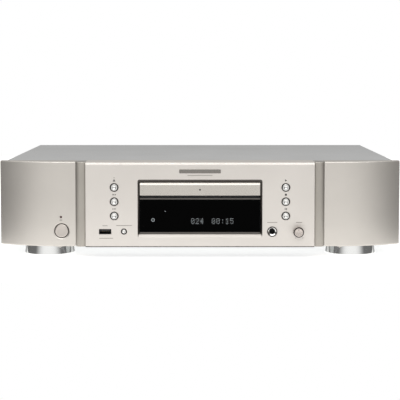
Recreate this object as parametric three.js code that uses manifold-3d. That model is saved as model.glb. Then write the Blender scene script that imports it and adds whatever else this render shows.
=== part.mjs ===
// A full-size hi-fi CD player with a front-loading drawer.
// Millimetres, +Z up, the front faces -Y, +X is on the right as one faces it.
// The origin is on the floor, under the middle of the outer box.
import * as THREE from "three";
import { mergeVertices } from "three/addons/utils/BufferGeometryUtils.js";
import Module from "manifold-3d";

const wasm = await Module();
wasm.setup();

// ---------------------------------------------------------------- driving dimensions
const halfWidth = 220;
const frontY = -162.5; // face of the centre panel
const backY = 162.5; // rear end of the cover
const reach = 8; // how far the knob stands out in front, and the jacks behind
const footHeight = 12.2;
const frontTop = 105;
const coverTop = 102.3;
const frontDepth = 28; // the front assembly, from the panel's face back to the cover
const sheet = 1.2; // steel sheet
const gap = 0.3; // between separate pieces that lie side by side

const panelHalf = 124.3; // centre panel
const panelThick = 3.5;
const wingInner = 135.4;
const wingFace = frontY + 6;
const wingFlatEnd = 152;
const wingRadius = 137;

const coverHalf = 219;
const frontBack = frontY + frontDepth;
const chassisFront = frontBack + gap;
const floorTop = footHeight + sheet;

const windowHalf = 65.7; // opening of the drawer and display
const windowLow = 26.2;
const windowHigh = 82.6;

const discY = -88.5; // the disc's axis when the drawer is shut
const deckLow = 58; // loader's deck, on which the loading gears turn
const deckHigh = 60;
const wallTop = 82; // top of the loader's side walls
const trayLow = 70.5;
const trayHigh = 75.5;
const trayHalf = 64.3;

const gearModule = 1;
const driveTeeth = 32;
const pinionTeeth = 16;
const rackX = 52; // pitch line of the rack
const gearY = -128;
const driveX = rackX - (gearModule * driveTeeth) / 2;
const pinionX = driveX - (gearModule * (driveTeeth + pinionTeeth)) / 2;
const motorAt = [-16, -130];
const beltRadius = 12; // wheel that the belt turns
const spindleRadius = 3; // wheel on the motor

const rodX = 22; // the pickup's guide rods, on both sides of its track
const screwX = 34;
const rodZ = 64.5;
const pickupY = discY + 23.5; // lens at the first track
const hingeY = 6; // the mechanism plate tilts about this line
const hingeZ = 57.5;
const plateLow = 56;
const plateHigh = 59;

const boardFront = -147.4; // control board behind the front panel
const boardThick = 1.6;
const mainBoardLow = 20;
const rearInner = 160; // inner face of the rear panel

const buttonX = 93;
const buttonTop = 77.3;
const buttonPitch = 15.5;
const lowRowZ = 29.3; // the lower row: power, USB, mode, headphones, level
const powerX = -150.9;
const usbX = -102.9;
const modeX = -82.5;
const headphoneX = 78.4;
const knobX = 106.6;
const lampAt = [-151.5, 44.4];
const seatDepth = 1.2; // shallow seat round each push button
const sunk = 0.3; // how far a clearance hole is wider than what stands in it

// ---------------------------------------------------------------- materials
function material(color, roughness, metalness) {
  return new THREE.MeshStandardMaterial({ color, roughness, metalness });
}
const champagne = material(0xd8d3cb, 0.32, 0.9);
const wingSilver = material(0xcbc5bd, 0.4, 0.6);
const pillarSilver = material(0xa7a29a, 0.4, 0.6);
const coverSilver = material(0xadadac, 0.5, 0.7);
const zincSteel = material(0xb3b6b5, 0.45, 0.9);
const chrome = material(0xe6e6e4, 0.08, 1);
const blackPlastic = material(0x17171a, 0.55, 0);
const darkPlastic = material(0x34353a, 0.6, 0);
const smokedAcrylic = material(0x060607, 0.06, 0);
const greyPlastic = material(0x6f6d69, 0.5, 0);
const ivoryPlastic = material(0xe9e4d6, 0.5, 0);
const rubber = material(0x1b1b1b, 0.9, 0);
const circuitGreen = material(0x1f5a37, 0.5, 0);
const paperTan = material(0xa88a55, 0.8, 0);
const brightSteel = material(0xc9ccce, 0.2, 1);
const copperCoil = material(0x7c4a24, 0.5, 0.5);
const lensGlass = material(0x6f86b8, 0.05, 0.2);
const redGlass = material(0x7a1512, 0.2, 0);
const gold = material(0xc9a24a, 0.3, 1);

// ---------------------------------------------------------------- solids
function closedSolid(vertProperties, triVerts) {
  return new wasm.Manifold(new wasm.Mesh({ numProp: 3, vertProperties, triVerts }));
}

// A geometry as a solid; one whose faces point inwards is turned inside out.
function solidOf(geometry) {
  const bare = geometry.index ? geometry.toNonIndexed() : geometry.clone();
  bare.deleteAttribute("normal");
  bare.deleteAttribute("uv");
  const merged = mergeVertices(bare, 1e-4);
  const corners = merged.attributes.position.array;
  const triangles = new Uint32Array(merged.index.array);
  const made = closedSolid(corners, triangles);
  if (made.volume() > 0) return made;
  return closedSolid(corners, triangles.reverse());
}

function geometryOf(solid) {
  const mesh = solid.getMesh();
  const geometry = new THREE.BufferGeometry();
  geometry.setAttribute("position", new THREE.BufferAttribute(mesh.vertProperties, 3));
  geometry.setIndex(new THREE.BufferAttribute(mesh.triVerts, 1));
  return geometry;
}

function joined(...solids) {
  return solids.reduce((sum, next) => sum.add(next));
}

function cut(solid, ...tools) {
  return tools.reduce((rest, tool) => rest.subtract(tool), solid);
}

function mirrored(solid) {
  return solidOf(geometryOf(solid).scale(-1, 1, 1));
}

function box([x0, x1], [y0, y1], [z0, z1]) {
  const geometry = new THREE.BoxGeometry(x1 - x0, y1 - y0, z1 - z0);
  return solidOf(geometry.translate((x0 + x1) / 2, (y0 + y1) / 2, (z0 + z1) / 2));
}

// Where a drawing's own axes u, v and w go when w lies along the part's x, y or z.
const along = {
  x: new THREE.Matrix4().set(0, 0, 1, 0, 1, 0, 0, 0, 0, 1, 0, 0, 0, 0, 0, 1),
  y: new THREE.Matrix4().set(1, 0, 0, 0, 0, 0, 1, 0, 0, 1, 0, 0, 0, 0, 0, 1),
  z: new THREE.Matrix4(),
};

// A prism along an axis; the outline holds the other two coordinates in the order x, y, z.
function prism(axis, outline, [from, to], curveSegments = 6) {
  const options = { depth: to - from, bevelEnabled: false, curveSegments };
  const geometry = new THREE.ExtrudeGeometry(outline, options).translate(0, 0, from);
  return solidOf(geometry.applyMatrix4(along[axis]));
}

// A turned piece about an axis: points of [radius, place along the axis], from axis to axis.
function turned(axis, points, [u, v] = [0, 0], sides = 16) {
  const profile = points.map(([radius, place]) => new THREE.Vector2(radius, place));
  const geometry = new THREE.LatheGeometry(profile, sides);
  const upright = new THREE.Matrix4().set(1, 0, 0, u, 0, 0, 1, v, 0, 1, 0, 0, 0, 0, 0, 1);
  return solidOf(geometry.applyMatrix4(upright).applyMatrix4(along[axis]));
}

function rod(axis, radius, centre, [from, to], sides = 16) {
  const points = [[0, from], [radius, from], [radius, to], [0, to]];
  return turned(axis, points, centre, sides);
}

function rectangle([u0, u1], [v0, v1], radius) {
  const outline = new THREE.Shape();
  outline.moveTo(u0 + radius, v0);
  outline.lineTo(u1 - radius, v0);
  outline.absarc(u1 - radius, v0 + radius, radius, -Math.PI / 2, 0);
  outline.lineTo(u1, v1 - radius);
  outline.absarc(u1 - radius, v1 - radius, radius, 0, Math.PI / 2);
  outline.lineTo(u0 + radius, v1);
  outline.absarc(u0 + radius, v1 - radius, radius, Math.PI / 2, Math.PI);
  outline.lineTo(u0, v0 + radius);
  outline.absarc(u0 + radius, v0 + radius, radius, Math.PI, 1.5 * Math.PI);
  return outline;
}

function polygon(points) {
  return new THREE.Shape(points.map(([u, v]) => new THREE.Vector2(u, v)));
}

// ---------------------------------------------------------------- gears
const pressure = (20 * Math.PI) / 180;
const backlash = 0.3;

function involute(angle) {
  return Math.tan(angle) - angle;
}

// Outline of a spur gear whose first tooth (or gap, with phase 0.5) points along +X.
function gearOutline(teeth, phase) {
  const pitch = (gearModule * teeth) / 2;
  const base = pitch * Math.cos(pressure);
  const root = pitch - 1.25 * gearModule;
  const tip = pitch + gearModule * 0.95;
  const halfTooth = (Math.PI / 2 - backlash / gearModule) / teeth;
  const halfAt = (radius) => {
    const angle = Math.acos(Math.min(1, base / radius));
    return halfTooth + involute(pressure) - involute(angle);
  };
  const radii = [root, pitch, tip];
  const points = [];
  for (let tooth = 0; tooth < teeth; tooth++) {
    const middle = ((tooth + phase) * 2 * Math.PI) / teeth;
    const flank = radii.map((radius) => [radius, halfAt(Math.max(radius, base))]);
    for (const [radius, half] of flank) {
      points.push([radius * Math.cos(middle - half), radius * Math.sin(middle - half)]);
    }
    for (const [radius, half] of flank.reverse()) {
      points.push([radius * Math.cos(middle + half), radius * Math.sin(middle + half)]);
    }
  }
  return points;
}

function gear(teeth, phase, [cx, cy], [low, high]) {
  const outline = gearOutline(teeth, phase).map(([x, y]) => [x + cx, y + cy]);
  return prism("z", polygon(outline), [low, high]);
}

// A rack whose teeth point to -X, with a gap centred on gapY.
function rack(pitchX, backX, gapY, [before, after], [low, high]) {
  const pitch = Math.PI * gearModule;
  const rise = Math.tan(pressure) * gearModule;
  const half = pitch / 4 - backlash / 2;
  const points = [[backX, gapY + before * pitch]];
  for (let tooth = before; tooth < after; tooth++) {
    const middle = gapY + (tooth + 0.5) * pitch;
    points.push([pitchX + 1.25 * gearModule, middle - half - 1.25 * rise]);
    points.push([pitchX - gearModule, middle - half + rise]);
    points.push([pitchX - gearModule, middle + half - rise]);
    points.push([pitchX + 1.25 * gearModule, middle + half + 1.25 * rise]);
  }
  points.push([backX, gapY + after * pitch]);
  return prism("z", polygon(points), [low, high]);
}

// ---------------------------------------------------------------- front assembly
// The hole of a front-panel button: a clearance bore with a shallow wider seat.
function buttonHole(x, z, bore, seat) {
  const through = rod("y", bore, [x, z], [frontY - 1, frontY + 10]);
  const wide = rod("y", seat, [x, z], [frontY - 1, frontY + seatDepth]);
  return joined(through, wide);
}

// The window's cut-out: four sloped sides down to the opening, then straight through.
function windowCut() {
  const wide = [windowHalf + 2, windowLow - 3.2, windowHigh + 2.9];
  const depth = 3;
  const middle = (windowLow + windowHigh) / 2;
  const straight = box([-windowHalf, windowHalf], [frontY - 1, frontY + 10], [windowLow, windowHigh]);
  const slope = new THREE.BoxGeometry(2, depth + 1, 2);
  const corner = slope.attributes.position;
  const steepness = (depth + 1) / depth;
  for (let i = 0; i < corner.count; i++) {
    const grow = corner.getY(i) < 0 ? steepness : 0;
    const up = corner.getZ(i) > 0;
    const edge = up ? windowHigh : windowLow;
    const target = up ? wide[2] : wide[1];
    const halfHere = windowHalf + (wide[0] - windowHalf) * grow;
    corner.setX(i, Math.sign(corner.getX(i)) * halfHere);
    corner.setZ(i, edge - middle + (target - edge) * grow);
  }
  slope.translate(0, frontY + (depth - 1) / 2, middle);
  return joined(straight, solidOf(slope));
}

// Section of the centre panel: face, rounded top edge, top and bottom returns.
function panelSection() {
  const round = 3.7;
  const inner = frontY + panelThick;
  const outline = new THREE.Shape();
  outline.moveTo(frontBack, footHeight);
  outline.lineTo(frontBack, footHeight + 2);
  outline.lineTo(inner, footHeight + 2);
  outline.lineTo(inner, frontTop - 2.4);
  outline.lineTo(frontBack, frontTop - 2.4);
  outline.lineTo(frontBack, frontTop);
  outline.lineTo(frontY + round, frontTop);
  outline.absarc(frontY + round, frontTop - round, round, Math.PI / 2, Math.PI);
  outline.lineTo(frontY, footHeight + 1);
  outline.absarc(frontY + 1, footHeight + 1, 1, Math.PI, 1.5 * Math.PI);
  return outline;
}

const capRadius = 3.6; // transport buttons
const seatRadius = 4.65;
const smallCapRadius = 2.2; // mode button
const smallSeatRadius = 3.35;
const transportHeights = [0, 1, 2].map((row) => buttonTop - row * buttonPitch);

function frontPanel() {
  const holes = transportHeights.flatMap((z) => [
    buttonHole(-buttonX, z, capRadius + sunk, seatRadius),
    buttonHole(buttonX, z, capRadius + sunk, seatRadius),
  ]);
  const usbHole = rectangle([usbX - 6.8, usbX + 6.8], [lowRowZ - 3.05, lowRowZ + 2.85], 0.6);
  return cut(
    prism("x", panelSection(), [-panelHalf, panelHalf]),
    windowCut(),
    ...holes,
    buttonHole(modeX, lowRowZ, smallCapRadius + sunk, smallSeatRadius),
    prism("y", usbHole, [frontY - 1, frontY + 10], 2),
    rod("y", 5.6, [headphoneX, lowRowZ], [frontY - 1, frontY + 10]),
    rod("y", 3.6, [knobX, lowRowZ], [frontY - 1, frontY + 10]),
  );
}

// The right wing: flat beside the pillar, then sweeping back; hollow and open behind.
function wing() {
  const centreY = wingFace + wingRadius;
  const sweep = (x, radius) => Math.asin((x - wingFlatEnd) / radius) - Math.PI / 2;
  const round = 1.5;
  const outline = new THREE.Shape();
  outline.moveTo(wingInner, frontBack);
  outline.lineTo(wingInner, wingFace);
  outline.lineTo(wingFlatEnd, wingFace);
  outline.absarc(wingFlatEnd, centreY, wingRadius, -Math.PI / 2, sweep(halfWidth, wingRadius));
  outline.lineTo(halfWidth, frontBack - 1.5);
  outline.lineTo(halfWidth - 1.5, frontBack);
  const wall = 3;
  const innerEnd = halfWidth - wall - 0.5;
  const innerRadius = wingRadius - wall;
  const pocket = new THREE.Shape();
  pocket.moveTo(wingInner + wall, frontBack + 1);
  pocket.lineTo(wingInner + wall, wingFace + wall);
  pocket.lineTo(wingFlatEnd, wingFace + wall);
  pocket.absarc(wingFlatEnd, centreY, innerRadius, -Math.PI / 2, sweep(innerEnd, innerRadius));
  pocket.lineTo(innerEnd, frontBack + 1);
  const shape = new THREE.ExtrudeGeometry(outline, {
    depth: frontTop - footHeight - 2 * round,
    bevelThickness: round,
    bevelSize: round,
    bevelOffset: -round,
    bevelSegments: 2,
    curveSegments: 10,
  }).translate(0, 0, footHeight + round);
  return cut(solidOf(shape), prism("z", pocket, [footHeight + 3, frontTop - 2.6], 10));
}

function leftWing() {
  const slope = [[0, wingFace - 1], [11, wingFace - 1], [8.2, wingFace + 1.2], [0, wingFace + 1.2]];
  const dish = turned("y", slope, [powerX, lowRowZ], 24);
  return cut(
    mirrored(wing()),
    dish,
    rod("y", 8.1, [powerX, lowRowZ], [wingFace - 1, wingFace + 10]),
    rod("y", 1.3, lampAt, [wingFace - 1, wingFace + 10]),
  );
}

// A rounded column between the centre panel and a wing, hollow behind.
function pillar() {
  const x0 = panelHalf + gap;
  const x1 = wingInner - gap;
  const middle = (x0 + x1) / 2;
  const side = frontY + 8.5;
  const outline = new THREE.Shape();
  outline.moveTo(x0, frontBack - 1);
  outline.lineTo(x0, side);
  outline.quadraticCurveTo(x0 + 0.6, frontY + 3.4, middle, frontY + 3.4);
  outline.quadraticCurveTo(x1 - 0.6, frontY + 3.4, x1, side);
  outline.lineTo(x1, frontBack - 1);
  const hollow = box([x0 + 2.2, x1 - 2.2], [side + 1, frontBack], [footHeight + 3, frontTop - 3]);
  return cut(prism("z", outline, [footHeight, frontTop - 0.4], 6), hollow);
}

// Black moulding behind the window: a ring, and two rails that frame the display.
function windowBezel() {
  const plate = [frontY + 4.5, frontY + 6];
  const rail = [frontY + 2.3, frontY + 5];
  const ring = box([-71, 71], plate, [21.5, 87]);
  const displayHole = box([-63, 63], [plate[0] - 1, plate[1] + 1], [30, 62]);
  const drawerHole = box([-65.6, 65.6], [plate[0] - 1, plate[1] + 1], [65.6, 82.8]);
  return joined(
    cut(ring, displayHole, drawerHole),
    box([-65.4, 65.4], rail, [26.5, 28.3]),
    box([-65.4, 65.4], rail, [63.8, 65.6]),
  );
}

function displayWindow() {
  return box([-65.3, 65.3], [frontY + 2.2, frontY + 4.2], [28.6, 63.5]);
}

// Vacuum display: a glass envelope with a pump-out tip and a row of leads to the board.
function displayModule() {
  const glass = box([-60, 60], [frontY + 6.3, frontY + 12.6], [33, 57]);
  const leads = box([-56, 56], [frontY + 12.6, boardFront], [34, 34.8]);
  const tip = rod("x", 2, [frontY + 9.4, 45], [-63, -59.5], 8);
  return joined(glass, leads, tip);
}

// The control board reaches round the drawer's way; switches and sockets stand on it.
function controlBoard() {
  const back = boardFront + boardThick;
  const board = box([-118, 118], [boardFront, back], [18, 92]);
  const notch = box([-71, 71], [boardFront - 1, back + 1], [63.5, 93]);
  const transport = transportHeights.flatMap((z) => [[-buttonX, z], [buttonX, z]]);
  const switches = [...transport, [modeX, lowRowZ]].map(([x, z]) =>
    box([x - 3, x + 3], [boardFront - 0.6, boardFront], [z - 3, z + 3]),
  );
  const control = box([101, 112], [boardFront - 1.2, boardFront], [24, 35]);
  return joined(cut(board, notch), ...switches, control);
}

// ---------------------------------------------------------------- front controls
// A round push button: domed cap, collar behind the panel, stem to its switch.
function pushButton(capRadius, front, collarAt, stemEnd, stemRadius) {
  return turned("y", [
    [0, front],
    [capRadius * 0.85, front + 0.2],
    [capRadius, front + 1.2],
    [capRadius, collarAt],
    [capRadius + 1.4, collarAt],
    [capRadius + 1.4, collarAt + 1.2],
    [stemRadius, collarAt + 1.2],
    [stemRadius, stemEnd],
    [0, stemEnd],
  ]);
}

const transportButton = pushButton(capRadius, frontY - 0.3, frontY + 4, boardFront - 1.9, 1.8);
const smallButton = pushButton(smallCapRadius, frontY + 0.1, frontY + 4, boardFront - 1.9, 1.2);
const powerButton = pushButton(7.75, wingFace - 0.4, wingFace + 3.4, frontBack - 8.5, 3);

// Level control: knurled cap and its shaft.
function levelKnob() {
  const tip = frontY - reach;
  return turned("y", [
    [0, tip],
    [4.5, tip],
    [5.2, tip + 0.7],
    [5.7, frontY - 0.6],
    [3, frontY - 0.6],
    [3, boardFront - 1.6],
    [0, boardFront - 1.6],
  ]);
}

// USB type A socket: a folded steel shell round a flat tongue.
function usbPort() {
  const x = usbX;
  const z = lowRowZ - 0.1;
  const front = frontY + 0.2;
  const back = frontY + 14;
  const shell = box([x - 6.5, x + 6.5], [front, back], [z - 2.65, z + 2.65]);
  const hollow = box([x - 6, x + 6], [front - 1, back - 2], [z - 2.25, z + 2.25]);
  const tongue = box([x - 5.5, x + 5.5], [front + 1.5, back - 1], [z + 0.3, z + 1.8]);
  return joined(cut(shell, hollow), tongue);
}

function headphoneJack() {
  const front = frontY - 0.6;
  const back = frontY + 14;
  return turned("y", [
    [3.2, front + 0.4],
    [3.6, front],
    [4.9, front],
    [5.25, front + 0.4],
    [5.25, back],
    [0, back],
    [0, back - 2],
    [3.2, back - 2],
    [3.2, front + 0.4],
  ], [headphoneX, lowRowZ]);
}

function standbyLed() {
  return turned("y", [
    [0, wingFace - 0.3],
    [0.7, wingFace - 0.1],
    [0.95, wingFace + 0.4],
    [0.95, wingFace + 6],
    [0, wingFace + 6],
  ], lampAt, 12);
}

function powerSwitch() {
  return box([-157, -145], [frontBack - 5, frontBack + gap], [23, 35.5]);
}

// ---------------------------------------------------------------- case
function foot() {
  const radius = 27.5;
  return turned("z", [
    [0, 1.6],
    [20.5, 1.6],
    [20.5, 0.8],
    [radius - 1.5, 0.8],
    [radius, 2.3],
    [radius, footHeight],
    [0, footHeight],
  ], [0, 0], 28);
}

function footPad() {
  return rod("z", 20, [0, 0], [0, 1.6], 24);
}

const footPlaces = {
  front_left: [-168.7, -117.5],
  front_right: [168.7, -117.5],
  rear_left: [-168.7, 115],
  rear_right: [168.7, 115],
};

// Floor with turned-up sides, a front wall with the loader's way through, and board pillars.
function bottomChassis() {
  const half = coverHalf - sheet - gap;
  const floor = box([-half, half], [chassisFront, rearInner + sheet], [footHeight, floorTop]);
  const sides = [-1, 1].map((side) => {
    const x = [side * half, side * (half - sheet)].sort((a, b) => a - b);
    return box(x, [chassisFront, rearInner - 1], [footHeight + 0.2, 28]);
  });
  const wallHalf = half - sheet - gap;
  const wall = box([-wallHalf, wallHalf], [chassisFront, chassisFront + sheet], [footHeight + 0.2, 99]);
  const way = box([-80, 80], [chassisFront - 1, chassisFront + 3], [floorTop, 92]);
  const pillarPlaces = [
    [90, -112], [199, -112], [90, 140], [199, 140],
    [-90, -102], [-199, -102], [-90, 42], [-199, 42],
  ];
  const pillars = pillarPlaces.map((place) => rod("z", 3, place, [floorTop - 0.5, mainBoardLow], 8));
  const vents = [-1, 1].flatMap((side) =>
    [0, 1, 2, 3].map((row) => box(
      side < 0 ? [-150, -110] : [110, 150],
      [-20 + row * 14, -15 + row * 14],
      [footHeight - 1, floorTop + 1],
    )),
  );
  return cut(joined(floor, ...sides, cut(wall, way), ...pillars), ...vents);
}

// Folded steel cover: top, two sides and a short lip over the rear panel.
function topCover() {
  const low = floorTop + 0.2;
  const start = frontBack + gap;
  const outer = rectangle([-coverHalf, coverHalf], [low - 10, coverTop], 3);
  const inner = rectangle([-coverHalf + sheet, coverHalf - sheet], [low - 12, coverTop - sheet], 2);
  return cut(
    prism("y", outer, [start, backY], 3),
    prism("y", inner, [start - 1, backY - sheet], 3),
    box([-300, 300], [start - 1, backY + 1], [low - 20, low]),
    box([-coverHalf + sheet, coverHalf - sheet], [backY - 2, backY + 1], [low - 1, 94]),
  );
}

const audioX = [148, 164];
const digitalX = [100, 118];
const remoteX = [184, 196];
const jackZ = 34;
const inletAt = [-170, 44];

function rearPanel() {
  const half = coverHalf - sheet - gap;
  const outline = rectangle([-half, half], [floorTop, coverTop - sheet - gap], 2.4);
  const plate = prism("y", outline, [rearInner, rearInner + sheet], 3);
  const span = [rearInner - 1, rearInner + 3];
  return cut(
    plate,
    ...[...audioX, digitalX[0]].map((x) => rod("y", 5, [x, jackZ], span)),
    box([digitalX[1] - 5.8, digitalX[1] + 5.8], span, [jackZ - 5.8, jackZ + 5.8]),
    ...remoteX.map((x) => rod("y", 4.2, [x, jackZ], span)),
    box([inletAt[0] - 14.3, inletAt[0] + 14.3], span, [inletAt[1] - 10.5, inletAt[1] + 10.5]),
  );
}

// One phono socket: an insulated barrel with a hollow centre contact.
function phonoBarrel(x) {
  const tip = backY + reach;
  return turned("y", [
    [0, rearInner - 1],
    [4.7, rearInner - 1],
    [4.7, rearInner + 2.2],
    [4.15, rearInner + 2.2],
    [4.15, tip],
    [1.7, tip],
    [1.7, rearInner + 2],
    [0, rearInner + 2],
  ], [x, jackZ], 20);
}

function jackBlock(x0, x1) {
  return box([x0, x1], [rearInner - 14, rearInner - gap], [mainBoardLow + boardThick, 46]);
}

function audioOutJacks() {
  return joined(jackBlock(audioX[0] - 9, audioX[1] + 9), ...audioX.map(phonoBarrel));
}

// Coaxial socket and optical port on one block.
function digitalOutJacks() {
  const [coaxial, optical] = digitalX;
  const square = (half, depth) =>
    box([optical - half, optical + half], depth, [jackZ - half, jackZ + half]);
  const port = square(5.5, [rearInner - 1, rearInner + 6]);
  const mouth = square(3.2, [rearInner - 5, rearInner + 7]);
  return cut(joined(jackBlock(coaxial - 9, optical + 9), phonoBarrel(coaxial), port), mouth);
}

function remoteJacks() {
  const sleeve = (x) => rod("y", 3.9, [x, jackZ], [rearInner - 1, rearInner + 4]);
  const bore = (x) => rod("y", 1.8, [x, jackZ], [rearInner - 10, rearInner + 5], 12);
  return cut(
    joined(jackBlock(remoteX[0] - 6.2, remoteX[1] + 6.2), ...remoteX.map(sleeve)),
    ...remoteX.map(bore),
  );
}

// Mains inlet: flange, deep socket and three flat pins.
function acInlet() {
  const [x, z] = inletAt;
  const outer = rearInner + sheet;
  const flange = box([x - 16.5, x + 16.5], [outer, outer + 2.2], [z - 12.5, z + 12.5]);
  const body = box([x - 13.9, x + 13.9], [outer - 18, outer], [z - 10.1, z + 10.1]);
  const socket = box([x - 12, x + 12], [outer - 15, outer + 3], [z - 7.8, z + 7.8]);
  const pinPlaces = [[-7, -1], [0, 3.4], [7, -1]];
  const pins = pinPlaces.map(([dx, dz]) =>
    box([x + dx - 1, x + dx + 1], [outer - 16, outer], [z + dz - 2, z + dz + 2]),
  );
  return joined(cut(joined(flange, body), socket), ...pins);
}

// A circuit board with tall round parts and flat packages on it.
function boardWith(x, y, cans, packages) {
  const top = mainBoardLow + boardThick;
  return joined(
    box(x, y, [mainBoardLow, top]),
    ...cans.map(([cx, cy, radius, height]) =>
      rod("z", radius, [cx, cy], [top - 0.5, top + height], 12),
    ),
    ...packages.map(([cx, cy, w, d, height]) =>
      box([cx - w / 2, cx + w / 2], [cy - d / 2, cy + d / 2], [top - 0.5, top + height]),
    ),
  );
}

function mainBoard() {
  const cans = [
    [110, 100, 5, 14], [124, 100, 5, 14], [160, 60, 6, 18], [176, 60, 6, 18], [186, 90, 4, 10],
  ];
  const packages = [
    [130, -40, 22, 22, 2], [165, -10, 14, 14, 2], [120, 20, 18, 10, 3], [170, 115, 20, 8, 4],
  ];
  return boardWith([84, 205], [-120, 146], cans, packages);
}

function powerBoard() {
  const cans = [[-180, 20, 9, 30], [-158, 20, 9, 30], [-132, 30, 6, 20], [-110, 20, 5, 14]];
  const packages = [[-150, -20, 30, 3, 26], [-110, -40, 24, 12, 8], [-170, -70, 20, 16, 12]];
  return boardWith([-205, -84], [-110, 50], cans, packages);
}

// Mains transformer: laminated core, winding, and a base with two lugs.
function transformer() {
  const x = -145;
  const y = 100;
  return joined(
    box([x - 33, x + 33], [y - 14, y + 14], [18, 73]),
    prism("z", rectangle([x - 20, x + 20], [y - 26, y + 26], 8), [27, 64], 3),
    box([x - 42, x + 42], [y - 14, y + 14], [floorTop, 18]),
  );
}

// ---------------------------------------------------------------- disc loader
const boss = { x0: 50.8, x1: 57, y0: hingeY - 5, y1: hingeY + 5, z0: 52, z1: 63 };

// Loader frame: deck, side walls with the drawer's rails, four legs, hinge bosses, gear posts.
function loaderFrame() {
  const wall = [trayHalf + 0.7, trayHalf + 3.7];
  const half = [
    box(wall, [-142, 40], [40, wallTop]),
    box(wall, [-154, -141], [66.5, wallTop]),
    box([61, wall[0] + 1], [-154, 24], [67.8, trayLow - gap]),
    box([62.6, wall[0] + 1], [-98, 24], [trayHigh + gap, 77.5]),
    box([65, 77], [-122, -108], [floorTop, 42]),
    box([65, 77], [20, 34], [floorTop, 42]),
    box([boss.x0, boss.x1], [boss.y0, boss.y1], [boss.z0, boss.z1]),
  ];
  const deck = box([-wall[0] - 1, wall[0] + 1], [-142, 40], [deckLow, deckHigh]);
  const opening = box([-50.5, 50.5], [-114, 14], [deckLow - 1, deckHigh + 1]);
  const rib = box([-52, 52], [-116, -114], [40, deckLow + 1]);
  const ledge = box([-52, 52], [-115, -109.8], [40, 42]);
  const rearWall = box([-wall[1], wall[1]], [38, 40], [40, wallTop - 12]);
  const posts = [
    rod("z", 2, [driveX, gearY], [deckHigh - 1, 69.8], 12),
    rod("z", 2, [pinionX, gearY], [deckHigh - 1, 69.8], 12),
  ];
  const sides = [...half, ...half.map(mirrored)];
  const frame = joined(cut(deck, opening), rib, ledge, rearWall, ...sides, ...posts);
  const hinge = rod("x", 2.6, [hingeY, hingeZ], [-60, 60], 16);
  const motorHole = rod("z", 4, motorAt, [deckLow - 1, deckHigh + 1], 16);
  return cut(frame, hinge, motorHole);
}

// Bridge across the loader, with the hole in which the disc clamp hangs.
function clampBridge() {
  const plate = box([-68, 68], [discY - 18, discY + 18], [wallTop, wallTop + 2]);
  const ribs = [-18, 16].map((dy) => {
    const y = [discY + dy, discY + dy + 2];
    return box([-50, 50], y, [wallTop + 1.5, wallTop + 5]);
  });
  const clampHole = rod("z", 11.8, [0, discY], [wallTop - 1, wallTop + 9], 24);
  return cut(joined(plate, ...ribs), clampHole);
}

function loadingMotor() {
  return turned("z", [
    [0, 35],
    [4, 35],
    [4, 36.5],
    [12, 36.5],
    [12, deckLow - gap],
    [1, deckLow - gap],
    [1, deckHigh + 0.3],
    [0, deckHigh + 0.3],
  ], motorAt);
}

// A grooved belt wheel between two heights.
function beltWheel(radius, [low, high], centre, sides) {
  const middle = (low + high) / 2;
  return turned("z", [
    [0, low],
    [radius + 1, low],
    [radius + 1, middle - 1.4],
    [radius - 0.3, middle - 1],
    [radius - 0.3, middle + 1],
    [radius + 1, middle + 1.4],
    [radius + 1, high],
    [0, high],
  ], centre, sides);
}

const wheelLevel = [60.6, 65.6];
const toothLevel = [66.8, 70.1];
const bore = 2.4;

function motorPulley() {
  return beltWheel(spindleRadius, wheelLevel, motorAt, 14);
}

function pulleyGear() {
  const centre = [pinionX, gearY];
  const wheel = beltWheel(beltRadius, wheelLevel, centre, 28);
  const neck = rod("z", 5, centre, [wheelLevel[1] - 0.5, toothLevel[0] + 0.5], 16);
  const teeth = gear(pinionTeeth, 0.5, centre, toothLevel);
  return cut(joined(wheel, neck, teeth), rod("z", bore, centre, [60, 71], 12));
}

function driveGear() {
  const centre = [driveX, gearY];
  const hub = rod("z", 4.5, centre, [60.8, toothLevel[0] + 0.5], 16);
  const lighten = [0, 1, 2, 3, 4].map((i) => {
    const angle = ((i + 0.5) * 2 * Math.PI) / 5;
    const place = [centre[0] + 9 * Math.cos(angle), centre[1] + 9 * Math.sin(angle)];
    return rod("z", 2.6, place, [66, 71], 10);
  });
  const wheel = joined(hub, gear(driveTeeth, 0, centre, toothLevel));
  return cut(wheel, rod("z", bore, centre, [60, 71], 12), ...lighten);
}

// A rubber belt round both wheels, square in section.
function driveBelt() {
  const thick = 1.1;
  const wheels = [
    { centre: new THREE.Vector2(...motorAt), radius: spindleRadius },
    { centre: new THREE.Vector2(pinionX, gearY), radius: beltRadius },
  ];
  const line = wheels[1].centre.clone().sub(wheels[0].centre);
  const lean = Math.acos((wheels[0].radius - wheels[1].radius) / line.length());
  const heading = line.angle();
  const loop = (Outline, offset) => {
    const outline = new Outline();
    const [small, large] = wheels;
    const start = heading + lean;
    const end = heading - lean;
    const { x, y } = small.centre;
    outline.absarc(x, y, small.radius + offset, start, end + 2 * Math.PI);
    outline.absarc(large.centre.x, large.centre.y, large.radius + offset, end, start);
    return outline;
  };
  const belt = loop(THREE.Shape, thick);
  belt.holes.push(loop(THREE.Path, 0.1));
  return prism("z", belt, [62.4, 63.8], 12);
}

// Cam slide: its sloped slot carries the front pin of the mechanism plate up and down.
function camSlide() {
  const y = [-113.4, -110.4];
  const bar = box([-32, 20], y, [42.3, 62.3]);
  const drop = 10.4;
  const travel = 17.9;
  const start = [6, hingeZ];
  const end = [start[0] - travel, start[1] - drop];
  const half = 2.3;
  const slope = Math.atan2(drop, travel);
  const slot = new THREE.Shape();
  slot.absarc(start[0], start[1], half, slope - Math.PI / 2, slope + Math.PI / 2);
  slot.absarc(end[0], end[1], half, slope + Math.PI / 2, slope + 1.5 * Math.PI);
  return cut(bar, prism("y", slot, [y[0] - 1, y[1] + 1], 4));
}

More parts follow.
